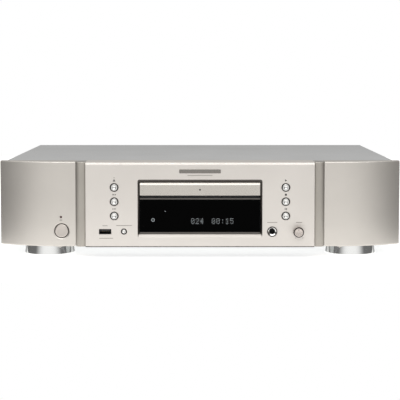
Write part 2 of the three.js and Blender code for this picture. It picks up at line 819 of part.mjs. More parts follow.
// Drawer: 12 cm and 8 cm recesses, a slot open to the rear, two arms, and the rack below.
function discTray() {
  const front = frontY + 5.5;
  const armInner = 44;
  const deckBack = -24;
  const outline = polygon([
    [-trayHalf, front],
    [trayHalf, front],
    [trayHalf, 18],
    [armInner, 18],
    [armInner, deckBack],
    [-armInner, deckBack],
    [-armInner, 18],
    [-trayHalf, 18],
  ]);
  const slot = joined(
    rod("z", 19, [0, discY], [60, 90], 32),
    box([-19, 19], [discY, 20], [60, 90]),
  );
  return joined(
    cut(
      prism("z", outline, [trayLow, trayHigh]),
      rod("z", 60.8, [0, discY], [trayHigh - 2, trayHigh + 5], 48),
      rod("z", 41, [0, discY], [trayHigh - 3.2, trayHigh + 5], 32),
      slot,
    ),
    rack(rackX, 57.5, gearY, [-2, 46], [trayLow - 4, trayLow + 0.4]),
  );
}

// The drawer's face, with a sloped upper edge.
function trayDoor() {
  const back = frontY + 5.5;
  const face = frontY + 1.9;
  const outline = polygon([
    [back, 68.3],
    [back, 82.3],
    [face + 1.3, 82.3],
    [face, 80.6],
    [face, 68.8],
    [face + 0.5, 68.3],
  ]);
  return prism("x", outline, [-65.4, 65.4]);
}

// ---------------------------------------------------------------- disc mechanism
// Tilting plate: window for the pickup, rod holders, front cam pin and rear hinge pins.
function mechanismPlate() {
  const plate = box([-48, 48], [-108, 10], [plateLow, plateHigh]);
  const track = box([-28, 28], [-76, -14], [plateLow - 1, plateHigh + 1]);
  const holders = [[-81.5, -78], [-12.5, -9.8]].flatMap((y) =>
    [-rodX, rodX].map((x) => box([x - 4, x + 4], y, [plateHigh - 0.5, rodZ + 3.5])),
  );
  const screwHolder = box([screwX - 4, screwX + 4], [-81.5, -78], [plateHigh - 0.5, rodZ + 3]);
  const cradle = box([screwX - 5.5, screwX + 5.5], [-4, 2], [plateHigh - 0.5, rodZ - 5.3]);
  const hingePins = rod("x", 2, [hingeY, hingeZ], [-56, 56], 12);
  const pinGap = box([-47, 47], [hingeY - 3, hingeY + 3], [plateHigh, plateHigh + 2]);
  const camPin = rod("y", 1.5, [6, hingeZ], [-113.2, -107], 12);
  const rodHoles = [-rodX, rodX, screwX].map((x) => rod("y", 1.85, [x, rodZ], [-82, -9], 12));
  return cut(
    joined(cut(plate, track), cut(hingePins, pinGap), ...holders, screwHolder, cradle, camPin),
    ...rodHoles,
  );
}

function spindleMotor() {
  return turned("z", [
    [0, plateHigh],
    [11, plateHigh],
    [11, 65.7],
    [10.3, 66.5],
    [0, 66.5],
  ], [0, discY], 20);
}

// Turntable: rubber-faced rim and the cone that centres the disc.
function turntable() {
  return turned("z", [
    [0, 66.8],
    [4, 66.8],
    [4, 70.9],
    [14.4, 70.9],
    [15, 71.5],
    [15, 75.2],
    [9, 75.2],
    [9, 74.6],
    [7.4, 74.6],
    [7.4, 76.6],
    [5.6, 78.4],
    [0, 78.6],
  ], [0, discY], 24);
}

// Disc clamp: a puck that hangs in the bridge until the turntable lifts the disc to it.
function discClamp() {
  return turned("z", [
    [0, 79.7],
    [8.3, 79.7],
    [8.3, 76.6],
    [16, 76.6],
    [16, 79.7],
    [11, 79.7],
    [11, 85],
    [14.5, 85],
    [14.5, 87],
    [0, 87],
  ], [0, discY], 20);
}

function guideRod(x) {
  return rod("y", 1.5, [x, rodZ], [-81.3, -9.9], 12);
}

function leadScrew() {
  return rod("y", 1.5, [screwX, rodZ], [-81, -10], 12);
}

function sledMotor() {
  return turned("y", [
    [0, -9.5],
    [2.2, -9.5],
    [2.2, -8.5],
    [5, -8.5],
    [5, 6],
    [0, 6],
  ], [screwX, rodZ], 16);
}

// Pickup: optical block between two rod bosses, with a nut arm that reaches the lead screw.
function pickup() {
  const block = box([-15, 15], [pickupY - 10, pickupY + 10], [54, 69.6]);
  const bosses = [-1, 1].map((side) => {
    const x = side < 0 ? [-26, -14] : [14, 26];
    return box(x, [pickupY - 8, pickupY + 8], [61, 68]);
  });
  const nutArm = box([25, screwX - 2.2], [pickupY - 3, pickupY + 3], [62, 67]);
  const bores = [-rodX, rodX].map((x) => rod("y", 2, [x, rodZ], [pickupY - 12, pickupY + 12], 12));
  return cut(joined(block, ...bosses, nutArm), ...bores);
}

function objectiveLens() {
  return turned("z", [
    [0, 70.4],
    [4.2, 70.4],
    [4.2, 72.4],
    [3, 72.8],
    [1.6, 73.4],
    [0, 73.6],
  ], [0, pickupY], 20);
}

// ---------------------------------------------------------------- assembly
const player = new THREE.Group();

function add(name, solid, look, position = [0, 0, 0]) {
  const mesh = new THREE.Mesh(geometryOf(solid), look);
  mesh.name = name;
  mesh.position.set(...position);
  player.add(mesh);
}

add("bottom_chassis", bottomChassis(), zincSteel);
add("top_cover", topCover(), coverSilver);
add("rear_panel", rearPanel(), coverSilver);
add("front_panel", frontPanel(), champagne);
add("left_wing", leftWing(), wingSilver);
add("right_wing", wing(), wingSilver);
add("left_pillar", mirrored(pillar()), pillarSilver);
add("right_pillar", pillar(), pillarSilver);
add("window_bezel", windowBezel(), greyPlastic);
add("display_window", displayWindow(), smokedAcrylic);
add("display_module", displayModule(), darkPlastic);
add("control_board", controlBoard(), paperTan);
add("main_board", mainBoard(), circuitGreen);
add("power_board", powerBoard(), paperTan);
add("mains_transformer", transformer(), copperCoil);

for (const [place, [x, y]] of Object.entries(footPlaces)) {
  add("foot_" + place, foot(), chrome, [x, y, 0]);
  add("foot_pad_" + place, footPad(), rubber, [x, y, 0]);
}

add("audio_out_jacks", audioOutJacks(), gold);
add("digital_out_jacks", digitalOutJacks(), blackPlastic);
add("remote_jacks", remoteJacks(), blackPlastic);
add("ac_inlet", acInlet(), blackPlastic);
add("usb_port", usbPort(), brightSteel);
add("headphone_jack", headphoneJack(), chrome);
add("standby_led", standbyLed(), redGlass);
add("power_switch", powerSwitch(), darkPlastic);

const transportNames = [
  ["open_close_button", -1, 0],
  ["skip_back_button", -1, 1],
  ["skip_forward_button", -1, 2],
  ["play_button", 1, 0],
  ["stop_button", 1, 1],
  ["pause_button", 1, 2],
];
for (const [name, side, row] of transportNames) {
  add(name, transportButton, chrome, [side * buttonX, 0, transportHeights[row]]);
}
add("mode_button", smallButton, chrome, [modeX, 0, lowRowZ]);
add("power_button", powerButton, chrome, [powerX, 0, lowRowZ]);
add("level_knob", levelKnob(), champagne, [knobX, 0, lowRowZ]);

add("loader_frame", loaderFrame(), darkPlastic);
add("clamp_bridge", clampBridge(), zincSteel);
add("loading_motor", loadingMotor(), brightSteel);
add("motor_pulley", motorPulley(), ivoryPlastic);
add("drive_belt", driveBelt(), rubber);
add("pulley_gear", pulleyGear(), ivoryPlastic);
add("drive_gear", driveGear(), ivoryPlastic);
add("cam_slide", camSlide(), ivoryPlastic);
add("disc_tray", discTray(), blackPlastic);
add("tray_door", trayDoor(), champagne);

add("mechanism_plate", mechanismPlate(), blackPlastic);
add("spindle_motor", spindleMotor(), brightSteel);
add("turntable", turntable(), darkPlastic);
add("disc_clamp", discClamp(), ivoryPlastic);
add("guide_rod_left", guideRod(-rodX), brightSteel);
add("guide_rod_right", guideRod(rodX), brightSteel);
add("sled_motor", sledMotor(), brightSteel);
add("lead_screw", leadScrew(), brightSteel);
add("pickup", pickup(), darkPlastic);
add("objective_lens", objectiveLens(), lensGlass);

export default player;
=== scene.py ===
"""Looks of a full-size silver CD player with a front-loading drawer, built around its CAD frame.

Lengths are in millimetres, in the frame's axes (the front faces -Y, +Z is up), and become metres
where a point is made. Places come from the CAD nodes' boxes.
"""
import math

import bmesh
import bpy
from mathutils import Matrix, Vector


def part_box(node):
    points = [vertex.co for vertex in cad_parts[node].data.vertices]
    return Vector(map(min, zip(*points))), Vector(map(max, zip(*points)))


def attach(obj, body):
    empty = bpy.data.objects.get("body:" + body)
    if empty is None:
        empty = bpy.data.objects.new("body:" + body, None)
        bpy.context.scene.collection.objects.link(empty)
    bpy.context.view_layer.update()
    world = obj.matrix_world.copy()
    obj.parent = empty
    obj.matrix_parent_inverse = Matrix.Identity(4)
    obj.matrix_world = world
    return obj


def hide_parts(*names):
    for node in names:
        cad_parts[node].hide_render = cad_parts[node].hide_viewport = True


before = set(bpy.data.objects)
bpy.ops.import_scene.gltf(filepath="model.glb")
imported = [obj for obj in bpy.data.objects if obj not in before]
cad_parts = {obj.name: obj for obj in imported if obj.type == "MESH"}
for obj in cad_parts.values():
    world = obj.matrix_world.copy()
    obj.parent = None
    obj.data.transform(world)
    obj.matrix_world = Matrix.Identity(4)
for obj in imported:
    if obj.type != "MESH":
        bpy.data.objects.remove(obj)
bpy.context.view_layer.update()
MM = 0.001
TURN = 2 * math.pi
SLIVER = 0.002 * MM  # after a cut, points nearer than this are one point
SAME_POINT = 1e-7  # the same for a shape as it is built, in metres
ON_AXIS = 1e-4  # radius of a turned shape's ends, in millimetres, as a ring can't be a point
scene = bpy.context.scene


def span(node):
    """Lowest and highest corner of a CAD node, in millimetres."""
    low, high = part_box(node)
    return low / MM, high / MM


def centre(node):
    low, high = span(node)
    return (low + high) / 2


PANEL_LOW, PANEL_HIGH = span("front_panel")
FRONT = PANEL_LOW.y
BACK_OF_FRONT = PANEL_HIGH.y
BASE = PANEL_LOW.z
CROWN = PANEL_HIGH.z
PANEL_HALF = PANEL_HIGH.x

# ---------------------------------------------------------------- camera, stage and light
EYE_DISTANCE = 1220
EYE_HEIGHT = 203
LENS = 101.9
SENSOR = 36
TILT = math.radians(3.3)
HORIZON = 0.322  # height of the horizon over the picture's middle, as a share of its width

FLOOR_AHEAD = (-0.3, 0.26)  # where the floor ends towards the camera, and half its width there
FLOOR_BEHIND = (1.3, 0.5)
# Brightness of the studio by direction: axis, where it starts and ends to rise, how much it adds.
STUDIO = [("Y", -0.4, -1.0, 0.84), ("Y", 0.4, 0.95, 0.28), ("Z", 0.3, 0.95, 0.62)]
DARK_SIDES = 0.17


def make_camera():
    camera = bpy.data.objects.new("camera", bpy.data.cameras.new("camera"))
    scene.collection.objects.link(camera)
    camera.location = Vector((0, FRONT - EYE_DISTANCE, EYE_HEIGHT)) * MM
    camera.rotation_euler = (math.pi / 2 - TILT, 0, 0)
    camera.data.sensor_width = SENSOR
    camera.data.lens = LENS
    camera.data.shift_y = math.tan(TILT) * LENS / SENSOR - HORIZON
    scene.camera = camera


def make_world():
    """A studio: bright ahead and overhead, grey behind the player, dark to its left and right."""
    world = bpy.data.worlds.new("studio")
    world.use_nodes = True
    scene.world = world
    nodes = world.node_tree.nodes
    link = world.node_tree.links.new
    direction = nodes.new("ShaderNodeTexCoord")
    split = nodes.new("ShaderNodeSeparateXYZ")
    link(direction.outputs["Generated"], split.inputs[0])
    total = None
    for axis, start, end, strength in STUDIO:
        ramp = nodes.new("ShaderNodeMapRange")
        ramp.interpolation_type = "SMOOTHSTEP"
        ramp.inputs["From Min"].default_value = start
        ramp.inputs["From Max"].default_value = end
        ramp.inputs["To Max"].default_value = strength
        link(split.outputs[axis], ramp.inputs["Value"])
        adder = nodes.new("ShaderNodeMath")
        adder.operation = "ADD"
        adder.inputs[1].default_value = DARK_SIDES
        if total:
            link(total, adder.inputs[1])
        link(ramp.outputs["Result"], adder.inputs[0])
        total = adder.outputs[0]
    seen = nodes.new("ShaderNodeLightPath")
    backdrop = nodes.new("ShaderNodeMix")
    link(seen.outputs["Is Camera Ray"], backdrop.inputs["Factor"])
    link(total, backdrop.inputs["A"])
    backdrop.inputs["B"].default_value = 1
    link(backdrop.outputs["Result"], nodes["Background"].inputs["Strength"])
    nodes["Background"].inputs["Color"].default_value = (1, 1, 1, 1)


def make_light(name, place, size, power):
    """A soft oblong light that points at the player's middle."""
    lamp = bpy.data.lights.new(name, "AREA")
    lamp.shape = "RECTANGLE"
    lamp.size, lamp.size_y = size
    lamp.energy = power
    holder = bpy.data.objects.new(name, lamp)
    scene.collection.objects.link(holder)
    holder.location = place
    aim = Vector((0, 0, 0.05)) - holder.location
    holder.rotation_euler = aim.to_track_quat("-Z", "Y").to_euler()


def make_floor():
    """A pale sheet under the player; the studio beyond its sides stays dark."""
    floor = bpy.data.meshes.new("floor")
    (ahead, half_ahead), (behind, half_behind) = FLOOR_AHEAD, FLOOR_BEHIND
    corners = [(-half_ahead, ahead, 0), (half_ahead, ahead, 0), (half_behind, behind, 0),
               (-half_behind, behind, 0)]
    floor.from_pydata(corners, [], [(0, 1, 2, 3)])
    piece = bpy.data.objects.new("floor", floor)
    scene.collection.objects.link(piece)
    paint = bpy.data.materials.new("floor_white")
    paint.use_nodes = True
    shader = paint.node_tree.nodes["Principled BSDF"]
    shader.inputs["Base Color"].default_value = (0.8, 0.8, 0.8, 1)
    shader.inputs["Roughness"].default_value = 0.9
    shader.inputs["Specular IOR Level"].default_value = 0.1
    shader.inputs["Emission Color"].default_value = (1, 1, 1, 1)
    shader.inputs["Emission Strength"].default_value = 0.7
    floor.materials.append(paint)


make_camera()
make_world()
make_light("key", (0.0, -1.55, 1.08), (1.8, 0.3), 6.4)
make_light("overhead", (0.0, -0.45, 0.65), (1.2, 0.3), 2.8)
make_floor()
scene.view_settings.view_transform = "Standard"


# ---------------------------------------------------------------- materials
def linear(value):
    """One sRGB channel of 0 to 255 as linear light."""
    share = value / 255
    return share / 12.92 if share <= 0.04045 else ((share + 0.055) / 1.055) ** 2.4


def colour(red, green, blue):
    return (linear(red), linear(green), linear(blue), 1)


def finish(name, base, roughness, metallic=0.0, **sockets):
    look = bpy.data.materials.new(name)
    look.use_nodes = True
    shader = look.node_tree.nodes["Principled BSDF"]
    shader.inputs["Base Color"].default_value = colour(*base)
    shader.inputs["Roughness"].default_value = roughness
    shader.inputs["Metallic"].default_value = metallic
    for socket, value in sockets.items():
        shader.inputs[socket.replace("_", " ")].default_value = value
    return look


def noise_of(look, size, stretch=(1, 1, 1), detail=3.0):
    """A noise texture with features of about size millimetres, drawn out along the axes by stretch."""
    nodes = look.node_tree.nodes
    link = look.node_tree.links.new
    coordinate = nodes.new("ShaderNodeTexCoord")
    mapping = nodes.new("ShaderNodeMapping")
    mapping.inputs["Scale"].default_value = [1 / (size * MM * s) for s in stretch]
    noise = nodes.new("ShaderNodeTexNoise")
    noise.inputs["Scale"].default_value = 1.0
    noise.inputs["Detail"].default_value = detail
    link(coordinate.outputs["Object"], mapping.inputs["Vector"])
    link(mapping.outputs["Vector"], noise.inputs["Vector"])
    return noise.outputs["Fac"]


def ranged(look, value, low, high):
    """value, which runs from 0.3 to 0.7 as noise does, spread over low to high."""
    spread = look.node_tree.nodes.new("ShaderNodeMapRange")
    spread.inputs["From Min"].default_value = 0.3
    spread.inputs["From Max"].default_value = 0.7
    spread.inputs["To Min"].default_value = low
    spread.inputs["To Max"].default_value = high
    look.node_tree.links.new(value, spread.inputs["Value"])
    return spread.outputs["Result"]


def rough_grain(look, low, high, size, stretch=(1, 1, 1)):
    """Roughness that wanders between two values."""
    shader = look.node_tree.nodes["Principled BSDF"]
    noise = noise_of(look, size, stretch)
    look.node_tree.links.new(ranged(look, noise, low, high), shader.inputs["Roughness"])


def relief(look, size, depth, stretch=(1, 1, 1), strength=1.0):
    """Surface relief of so many millimetres' depth."""
    shader = look.node_tree.nodes["Principled BSDF"]
    bump = look.node_tree.nodes.new("ShaderNodeBump")
    bump.inputs["Distance"].default_value = depth * MM
    bump.inputs["Strength"].default_value = strength
    look.node_tree.links.new(noise_of(look, size, stretch), bump.inputs["Height"])
    look.node_tree.links.new(bump.outputs["Normal"], shader.inputs["Normal"])


def mottle(look, first, second, size, stretch=(1, 1, 1)):
    """Base colour that wanders between two colours."""
    nodes = look.node_tree.nodes
    blend = nodes.new("ShaderNodeMix")
    blend.data_type = "RGBA"
    blend.inputs["A"].default_value = colour(*first)
    blend.inputs["B"].default_value = colour(*second)
    link = look.node_tree.links.new
    link(ranged(look, noise_of(look, size, stretch), 0, 1), blend.inputs["Factor"])
    link(blend.outputs["Result"], nodes["Principled BSDF"].inputs["Base Color"])


def surface(name, base, roughness, metallic, shades, grain, bump, **sockets):
    """A material whose colour wanders between two shades, with grain in its gloss and a fine relief."""
    look = finish(name, base, roughness, metallic, **sockets)
    if shades:
        mottle(look, *shades)
    rough_grain(look, *grain)
    if bump:
        relief(look, *bump)
    return look


def panel_aluminium(name, base, low, high):
    """Anodised champagne silver, blasted to a fine even grain."""
    shades = ([channel + 2 for channel in base], [channel - 3 for channel in base], 60)
    return surface(name, base, 0.36, 0.9, shades, (low, high, 0.35), (0.18, 0.004))


def chrome(name, base, low=0.04, high=0.1):
    return surface(name, base, 0.07, 1.0, None, (low, high, 6), (4, 0.003))


def moulded(name, base, low=0.45, high=0.6, grain=0.35, depth=0.01):
    """Injection-moulded plastic with a spark-eroded grain."""
    lighter = [min(255, channel * 1.06 + 1) for channel in base]
    return surface(name, base, (low + high) / 2, 0, (base, lighter, 14), (low, high, grain), (grain, depth))


def glow(name, base, light, strength):
    light = {"Emission_Color": colour(*light), "Emission_Strength": strength}
    return surface(name, base, 0.4, 0, None, (0.35, 0.5, 0.4), None, **light)


def board(name, base, mask):
    """Circuit board: tracks show as faint paler lanes under the mask."""
    return surface(name, base, 0.45, 0, (base, mask, 2.2, (6, 1, 1)), (0.35, 0.5, 1),
                   (1.2, 0.02, (5, 1, 1)))


ALUMINIUM = panel_aluminium("panel_aluminium", (205, 200, 194), 0.5, 0.58)
WING = surface("wing_silver", (196, 191, 184), 0.34, 0.85, ((198, 193, 186), (193, 188, 181), 45),
               (0.38, 0.45, 0.5), (0.4, 0.005))
PILLAR = surface("pillar_silver", (163, 158, 150), 0.36, 0.75, ((165, 160, 152), (159, 154, 146), 30),
                 (0.32, 0.4, 0.5), (0.4, 0.004))
# Silver-grey paint on folded sheet, with a fine orange peel.
COVER = surface("cover_paint", (186, 186, 185), 0.45, 0.45, ((188, 188, 187), (182, 182, 181), 70),
                (0.42, 0.52, 1.2), (0.8, 0.012))
ZINC = surface("zinc_steel", (176, 178, 177), 0.42, 0.9, ((186, 188, 186), (160, 163, 163), 9),
               (0.32, 0.55, 5), (1.5, 0.01))
FOOT_CHROME = chrome("foot_chrome", (238, 238, 236))
FOOT_CHROME.node_tree.nodes["Principled BSDF"].inputs["Specular Tint"].default_value = colour(120, 120, 120)
KEY_CHROME = chrome("button_chrome", (206, 205, 202), 0.08, 0.13)
STEEL = surface("bright_steel", (196, 199, 201), 0.25, 1.0, None, (0.18, 0.34, 0.3, (1, 8, 1)),
                (0.2, 0.004, (1, 10, 1)))
BLACK = moulded("black_plastic", (22, 22, 24))
DARK = moulded("dark_plastic", (50, 51, 56))
GREY = moulded("grey_plastic", (70, 66, 61), 0.5, 0.6)
IVORY = moulded("ivory_plastic", (228, 223, 210), 0.35, 0.5)
ACRYLIC = surface("smoked_acrylic", (1, 1, 1), 0.06, 0, None, (0.03, 0.07, 25), (30, 0.004),
                  Specular_IOR_Level=0.02)
VACUUM_GLASS = moulded("display_glass", (10, 10, 11), 0.2, 0.3, 0.5, 0.002)
RUBBER = moulded("rubber_black", (27, 27, 27), 0.75, 0.9, 0.25, 0.02)
LIT = glow("lit_segments", (90, 96, 98), (204, 210, 212), 0.3)
DIM = glow("unlit_segments", (16, 17, 18), (120, 130, 134), 0.012)
LED = moulded("led_red", (58, 16, 16), 0.1, 0.2, 1, 0.001)
POWER_CAP = panel_aluminium("power_cap_silver", (186, 179, 172), 0.3, 0.36)
PRINT = moulded("printed_ink", (58, 55, 52), 0.5, 0.6, 0.3, 0.002)
GREEN_BOARD = board("board_green", (26, 76, 46), (40, 104, 62))
TAN_BOARD = board("board_tan", (160, 128, 78), (178, 146, 96))
CORE = surface("transformer_core", (120, 82, 48), 0.4, 0.3, ((128, 88, 52), (92, 60, 36), 1.0, (8, 8, 1)),
               (0.3, 0.5, 1.0), (0.5, 0.08, (12, 12, 1)))
BLACK_SCREW = surface("black_screw", (38, 38, 40), 0.3, 0.9, None, (0.24, 0.4, 0.8), (0.6, 0.004))
TRAY_PLASTIC = moulded("tray_plastic", (36, 36, 38), 0.4, 0.55, 0.3, 0.008)
RED_PLASTIC = moulded("red_plastic", (150, 30, 28), 0.35, 0.5)
ORANGE_PLASTIC = moulded("orange_plastic", (196, 104, 36), 0.35, 0.5)
# Dark anodised metal for the headphone nut; on the window's slopes the same dark is painted shade.
LINER = surface("dark_anodised_and_painted_shade", (70, 66, 62), 0.4, 0.6, None, (0.34, 0.46, 0.5), (0.4, 0.003))
DOOR = panel_aluminium("drawer_aluminium", (192, 187, 179), 0.26, 0.32)
KNOB = panel_aluminium("knob_aluminium", (186, 177, 170), 0.24, 0.3)
NAMEPLATE = surface("nameplate_metal", (128, 124, 119), 0.2, 0.9, None, (0.16, 0.26, 0.5), (0.4, 0.002))
SEAT_BLACK = moulded("seat_black", (18, 15, 12), 0.6, 0.75)
LABEL_PRINT = moulded("label_print", (128, 124, 117))
USB_STEEL = surface("usb_steel", (72, 70, 68), 0.3, 1.0, None, (0.24, 0.38, 0.8), (0.5, 0.003))
DARK_STEEL = surface("dark_steel", (120, 118, 116), 0.3, 1.0, None, (0.22, 0.36, 0.8), (0.5, 0.003))
LENS_GLASS = surface("lens_glass", (96, 112, 168), 0.04, 0.3, None, (0.02, 0.06, 2), (2, 0.001),
                     Coat_Weight=1.0, Coat_Roughness=0.02)
GOLD = surface("jack_gold", (212, 168, 82), 0.2, 1.0, None, (0.14, 0.28, 1.5), (1, 0.003))
# The slot that each material fills, where the CAD has another name for it.
SLOT_OF = {
    "power_cap_silver": "wing_silver",
    "black_screw": "bright_steel",
    "tray_plastic": "black_plastic",
    "dark_anodised_and_painted_shade": "dark_plastic",
    "drawer_aluminium": "panel_aluminium",
    "knob_aluminium": "panel_aluminium",
    "nameplate_metal": "dark_plastic",
    "seat_black": "black_plastic",
    "usb_steel": "bright_steel",
}
SLOT_OF.update({name: name for name in (
    "black_plastic", "bright_steel", "button_chrome", "cover_paint", "dark_plastic", "foot_chrome",
    "grey_plastic", "ivory_plastic", "jack_gold", "led_red", "lens_glass", "panel_aluminium",
    "pillar_silver", "rubber_black", "smoked_acrylic", "transformer_core", "wing_silver",
    "zinc_steel",
)})


# ---------------------------------------------------------------- shapes
def at(axis, u, v, w):
    """A point in metres: w lies along axis, and u and v are the other two coordinates in order."""
    point = {"x": (w, u, v), "y": (u, w, v), "z": (u, v, w)}[axis]
    return Vector(point) * MM


def arc(middle, radius, start, end, steps):
    """Points of an arc; angles are in degrees."""
    angles = [math.radians(start + (end - start) * i / steps) for i in range(steps + 1)]
    return [(middle[0] + radius * math.cos(a), middle[1] + radius * math.sin(a)) for a in angles]


def circle(middle, radius, sides=48):
    return arc(middle, radius, 0, 360 * (sides - 1) / sides, sides - 1)


def rectangle(left, right, low, high, radius=0.0, steps=6):
    if not radius:
        return [(left, low), (right, low), (right, high), (left, high)]
    return (
        arc((right - radius, low + radius), radius, -90, 0, steps)
        + arc((right - radius, high - radius), radius, 0, 90, steps)
        + arc((left + radius, high - radius), radius, 90, 180, steps)
        + arc((left + radius, low + radius), radius, 180, 270, steps)
    )


def centred(x, z, half_wide, half_high, radius=0.0, steps=6):
    """A rectangle about a middle."""
    return rectangle(x - half_wide, x + half_wide, z - half_high, z + half_high, radius, steps)


def area_of(outline):
    pairs = zip(outline, outline[1:] + outline[:1])
    return sum(a[0] * b[1] - b[0] * a[1] for a, b in pairs) / 2


def inset(outline, distance):
    """The outline moved to its left-hand side, which is inwards when it runs anticlockwise."""
    if not distance:
        return list(outline)
    moved = []
    count = len(outline)
    for i, (u, v) in enumerate(outline):
        before = Vector((u, v)) - Vector(outline[i - 1])
        after = Vector(outline[(i + 1) % count]) - Vector((u, v))
        first = Vector((-before.y, before.x)).normalized()
        second = Vector((-after.y, after.x)).normalized()
        middle = first + second
        reach = distance / max(0.3, 1 + first.dot(second))
        moved.append((u + middle.x * reach, v + middle.y * reach))
    return moved


def skin(shape, rings, capped=True, looped=True):
    """Faces between rings of points that have as many points each."""
    rows = [[shape.verts.new(point) for point in ring] for ring in rings]
    count = len(rows[0])
    for low, high in zip(rows, rows[1:]):
        for i in range(count if looped else count - 1):
            j = (i + 1) % count
            shape.faces.new((low[i], low[j], high[j], high[i]))
    if capped:
        shape.faces.new(rows[0][::-1])
        shape.faces.new(rows[-1])
    return rows


def prism(shape, outlines, axis, low, high, edge=0.3, steps=3):
    """A flat piece from low to high with rounded rims; outlines after the first are holes."""
    ends = [[], []]
    for number, outline in enumerate(outlines):
        anticlockwise = area_of(outline) > 0
        if anticlockwise != (number == 0):
            outline = outline[::-1]
        quarter = [math.pi / 2 * k / steps for k in range(steps + 1)] if edge else [0]
        rise = [(edge * (1 - math.cos(a)), edge * (1 - math.sin(a))) for a in quarter]
        levels = [(low + up, back) for up, back in rise]
        levels += [(high - up, back) for up, back in reversed(rise)]
        rings = [[at(axis, u, v, w) for u, v in inset(outline, back)] for w, back in levels]
        rows = skin(shape, rings, capped=False)
        for end, row in zip(ends, (rows[0], rows[-1])):
            end += [shape.edges.get((row[i - 1], row[i])) for i in range(len(row))]
    for end in ends:
        bmesh.ops.triangle_fill(shape, use_beauty=True, edges=end)


def turned(shape, profile, axis, middle, sides=64):
    """A turned shape: profile points are (radius, place along the axis); a closed profile makes a ring."""
    rings = []
    for radius, place in profile:
        radius = max(radius, ON_AXIS)
        rings.append([at(axis, u, v, place) for u, v in circle(middle, radius, sides)])
    skin(shape, rings, capped=profile[0] != profile[-1])


def block(shape, low, high, edge=0.3, axis="z"):
    """A box with rounded edges between two corners."""
    order = {"x": (1, 2, 0), "y": (0, 2, 1), "z": (0, 1, 2)}[axis]
    a, b, c = order
    outline = rectangle(low[a], high[a], low[b], high[b], edge, 3)
    prism(shape, [outline], axis, low[c], high[c], edge)


def new_shape():
    return bmesh.new()


def made(build, *values):
    """A new shape with one prism, turned shape or block in it."""
    shape = new_shape()
    build(shape, *values)
    return shape


def made_object(name, shape):
    bmesh.ops.remove_doubles(shape, verts=shape.verts, dist=SAME_POINT)
    bmesh.ops.recalc_face_normals(shape, faces=shape.faces)
    mesh = bpy.data.meshes.new(name)
    shape.to_mesh(mesh)
    shape.free()
    piece = bpy.data.objects.new(name, mesh)
    scene.collection.objects.link(piece)
    return piece


def closed_mesh(mesh):
    """Merges the slivers a cut leaves along its edges, and fills the pinholes between them."""
    shape = bmesh.new()
    shape.from_mesh(mesh)
    bmesh.ops.remove_doubles(shape, verts=shape.verts, dist=SLIVER)
    bmesh.ops.dissolve_degenerate(shape, edges=shape.edges, dist=SLIVER / 20)
    bmesh.ops.holes_fill(shape, edges=shape.edges, sides=6)
    shape.to_mesh(mesh)
    shape.free()
    return mesh


def carve(piece, *cutters):
    """Cuts closed shapes out of a piece."""
    for shape in cutters:
        tool = made_object("tool", shape)
        modifier = piece.modifiers.new("cut", "BOOLEAN")
        modifier.operation = "DIFFERENCE"
        modifier.solver = "EXACT"
        modifier.object = tool
        bpy.context.view_layer.update()
        evaluated = piece.evaluated_get(bpy.context.evaluated_depsgraph_get())
        cut = bpy.data.meshes.new_from_object(evaluated)
        piece.modifiers.clear()
        piece.data = closed_mesh(cut)
        bpy.data.objects.remove(tool)


def dressed(piece, look, body="chassis", stands_for=(), slot=None, sharp=32):
    """Shading, material and place in the frame of a finished mesh; a slot, the look's own if not given, is
    worked out but not given to the piece.
    """
    mesh = piece.data
    mesh.polygons.foreach_set("use_smooth", [True] * len(mesh.polygons))
    mesh.set_sharp_from_angle(angle=math.radians(sharp))
    mesh.materials.clear()
    mesh.materials.append(look)
    shading = piece.modifiers.new("even_shading", "WEIGHTED_NORMAL")
    shading.keep_sharp = True
    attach(piece, body)
    if stands_for:
        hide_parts(*stands_for)
    # Blender adds a number to a name that one of the CAD's materials already has.
    slot = slot or SLOT_OF.get(look.name.split(".")[0])
    return piece


def part(name, shape, look, body="chassis", stands_for=(), slot=None, sharp=32):
    return dressed(made_object(name, shape), look, body, stands_for, slot, sharp)


def bore(radius, place, low, high, flare=0.25, sides=48):
    """Cutter for a round hole along Y that opens at low with a small chamfer."""
    shape = new_shape()
    profile = [(radius + flare + 1, low - 1), (radius, low + flare), (radius, high)]
    turned(shape, profile, "y", place, sides)
    return shape


# ---------------------------------------------------------------- front assembly
BUTTONS = ["open_close_button", "skip_back_button", "skip_forward_button",
           "play_button", "stop_button", "pause_button"]
CAP_RADIUS = 3.6
WINDOW_HALF = 65.7
WINDOW_LOW = 26.2
WINDOW_HIGH = 82.6
SLOPE_DEPTH = 3.0
SLOPE_SIDE = 2.0
SLOPE_LOW = 3.2
SLOPE_HIGH = 3.4
SHADOW_GAP = 0.9
WINDOW_STEPS = 6  # points on each rounded corner of the window


def panel_profile():
    """Section of the centre panel in Y and Z: face, round crown, returns along top and bottom."""
    crown = 3.7
    heel = 0.5
    face = 3.5
    foot = BASE + SHADOW_GAP
    return (
        [(BACK_OF_FRONT, foot), (BACK_OF_FRONT, foot + 1), (FRONT + face, foot + 1)]
        + [(FRONT + face, CROWN - 2.4), (BACK_OF_FRONT, CROWN - 2.4), (BACK_OF_FRONT, CROWN)]
        + arc((FRONT + crown, CROWN - crown), crown, 90, 180, 10)
        + arc((FRONT + heel, foot + heel), heel, 180, 270, 4)
    )


def window_outline(share, shrink=0.0):
    """The window's outline on its slope: share is 0 at the inner edge and 1 at the face."""
    side = WINDOW_HALF + SLOPE_SIDE * share - shrink
    low = WINDOW_LOW - SLOPE_LOW * share + shrink
    high = WINDOW_HIGH + SLOPE_HIGH * share - shrink
    return rectangle(-side, side, low, high, 0.8 + 1.4 * share, WINDOW_STEPS)


def window_cutter():
    """Four sloped sides run in from the face to the window's opening."""
    shape = new_shape()
    levels = [(-1, (SLOPE_DEPTH + 1) / SLOPE_DEPTH), (SLOPE_DEPTH, 0), (12, 0)]
    rings = []
    for depth, share in levels:
        rings.append([at("y", u, v, FRONT + depth) for u, v in window_outline(share)])
    skin(shape, rings)
    return shape


def control_place(node):
    middle = centre(node)
    return middle.x, middle.z


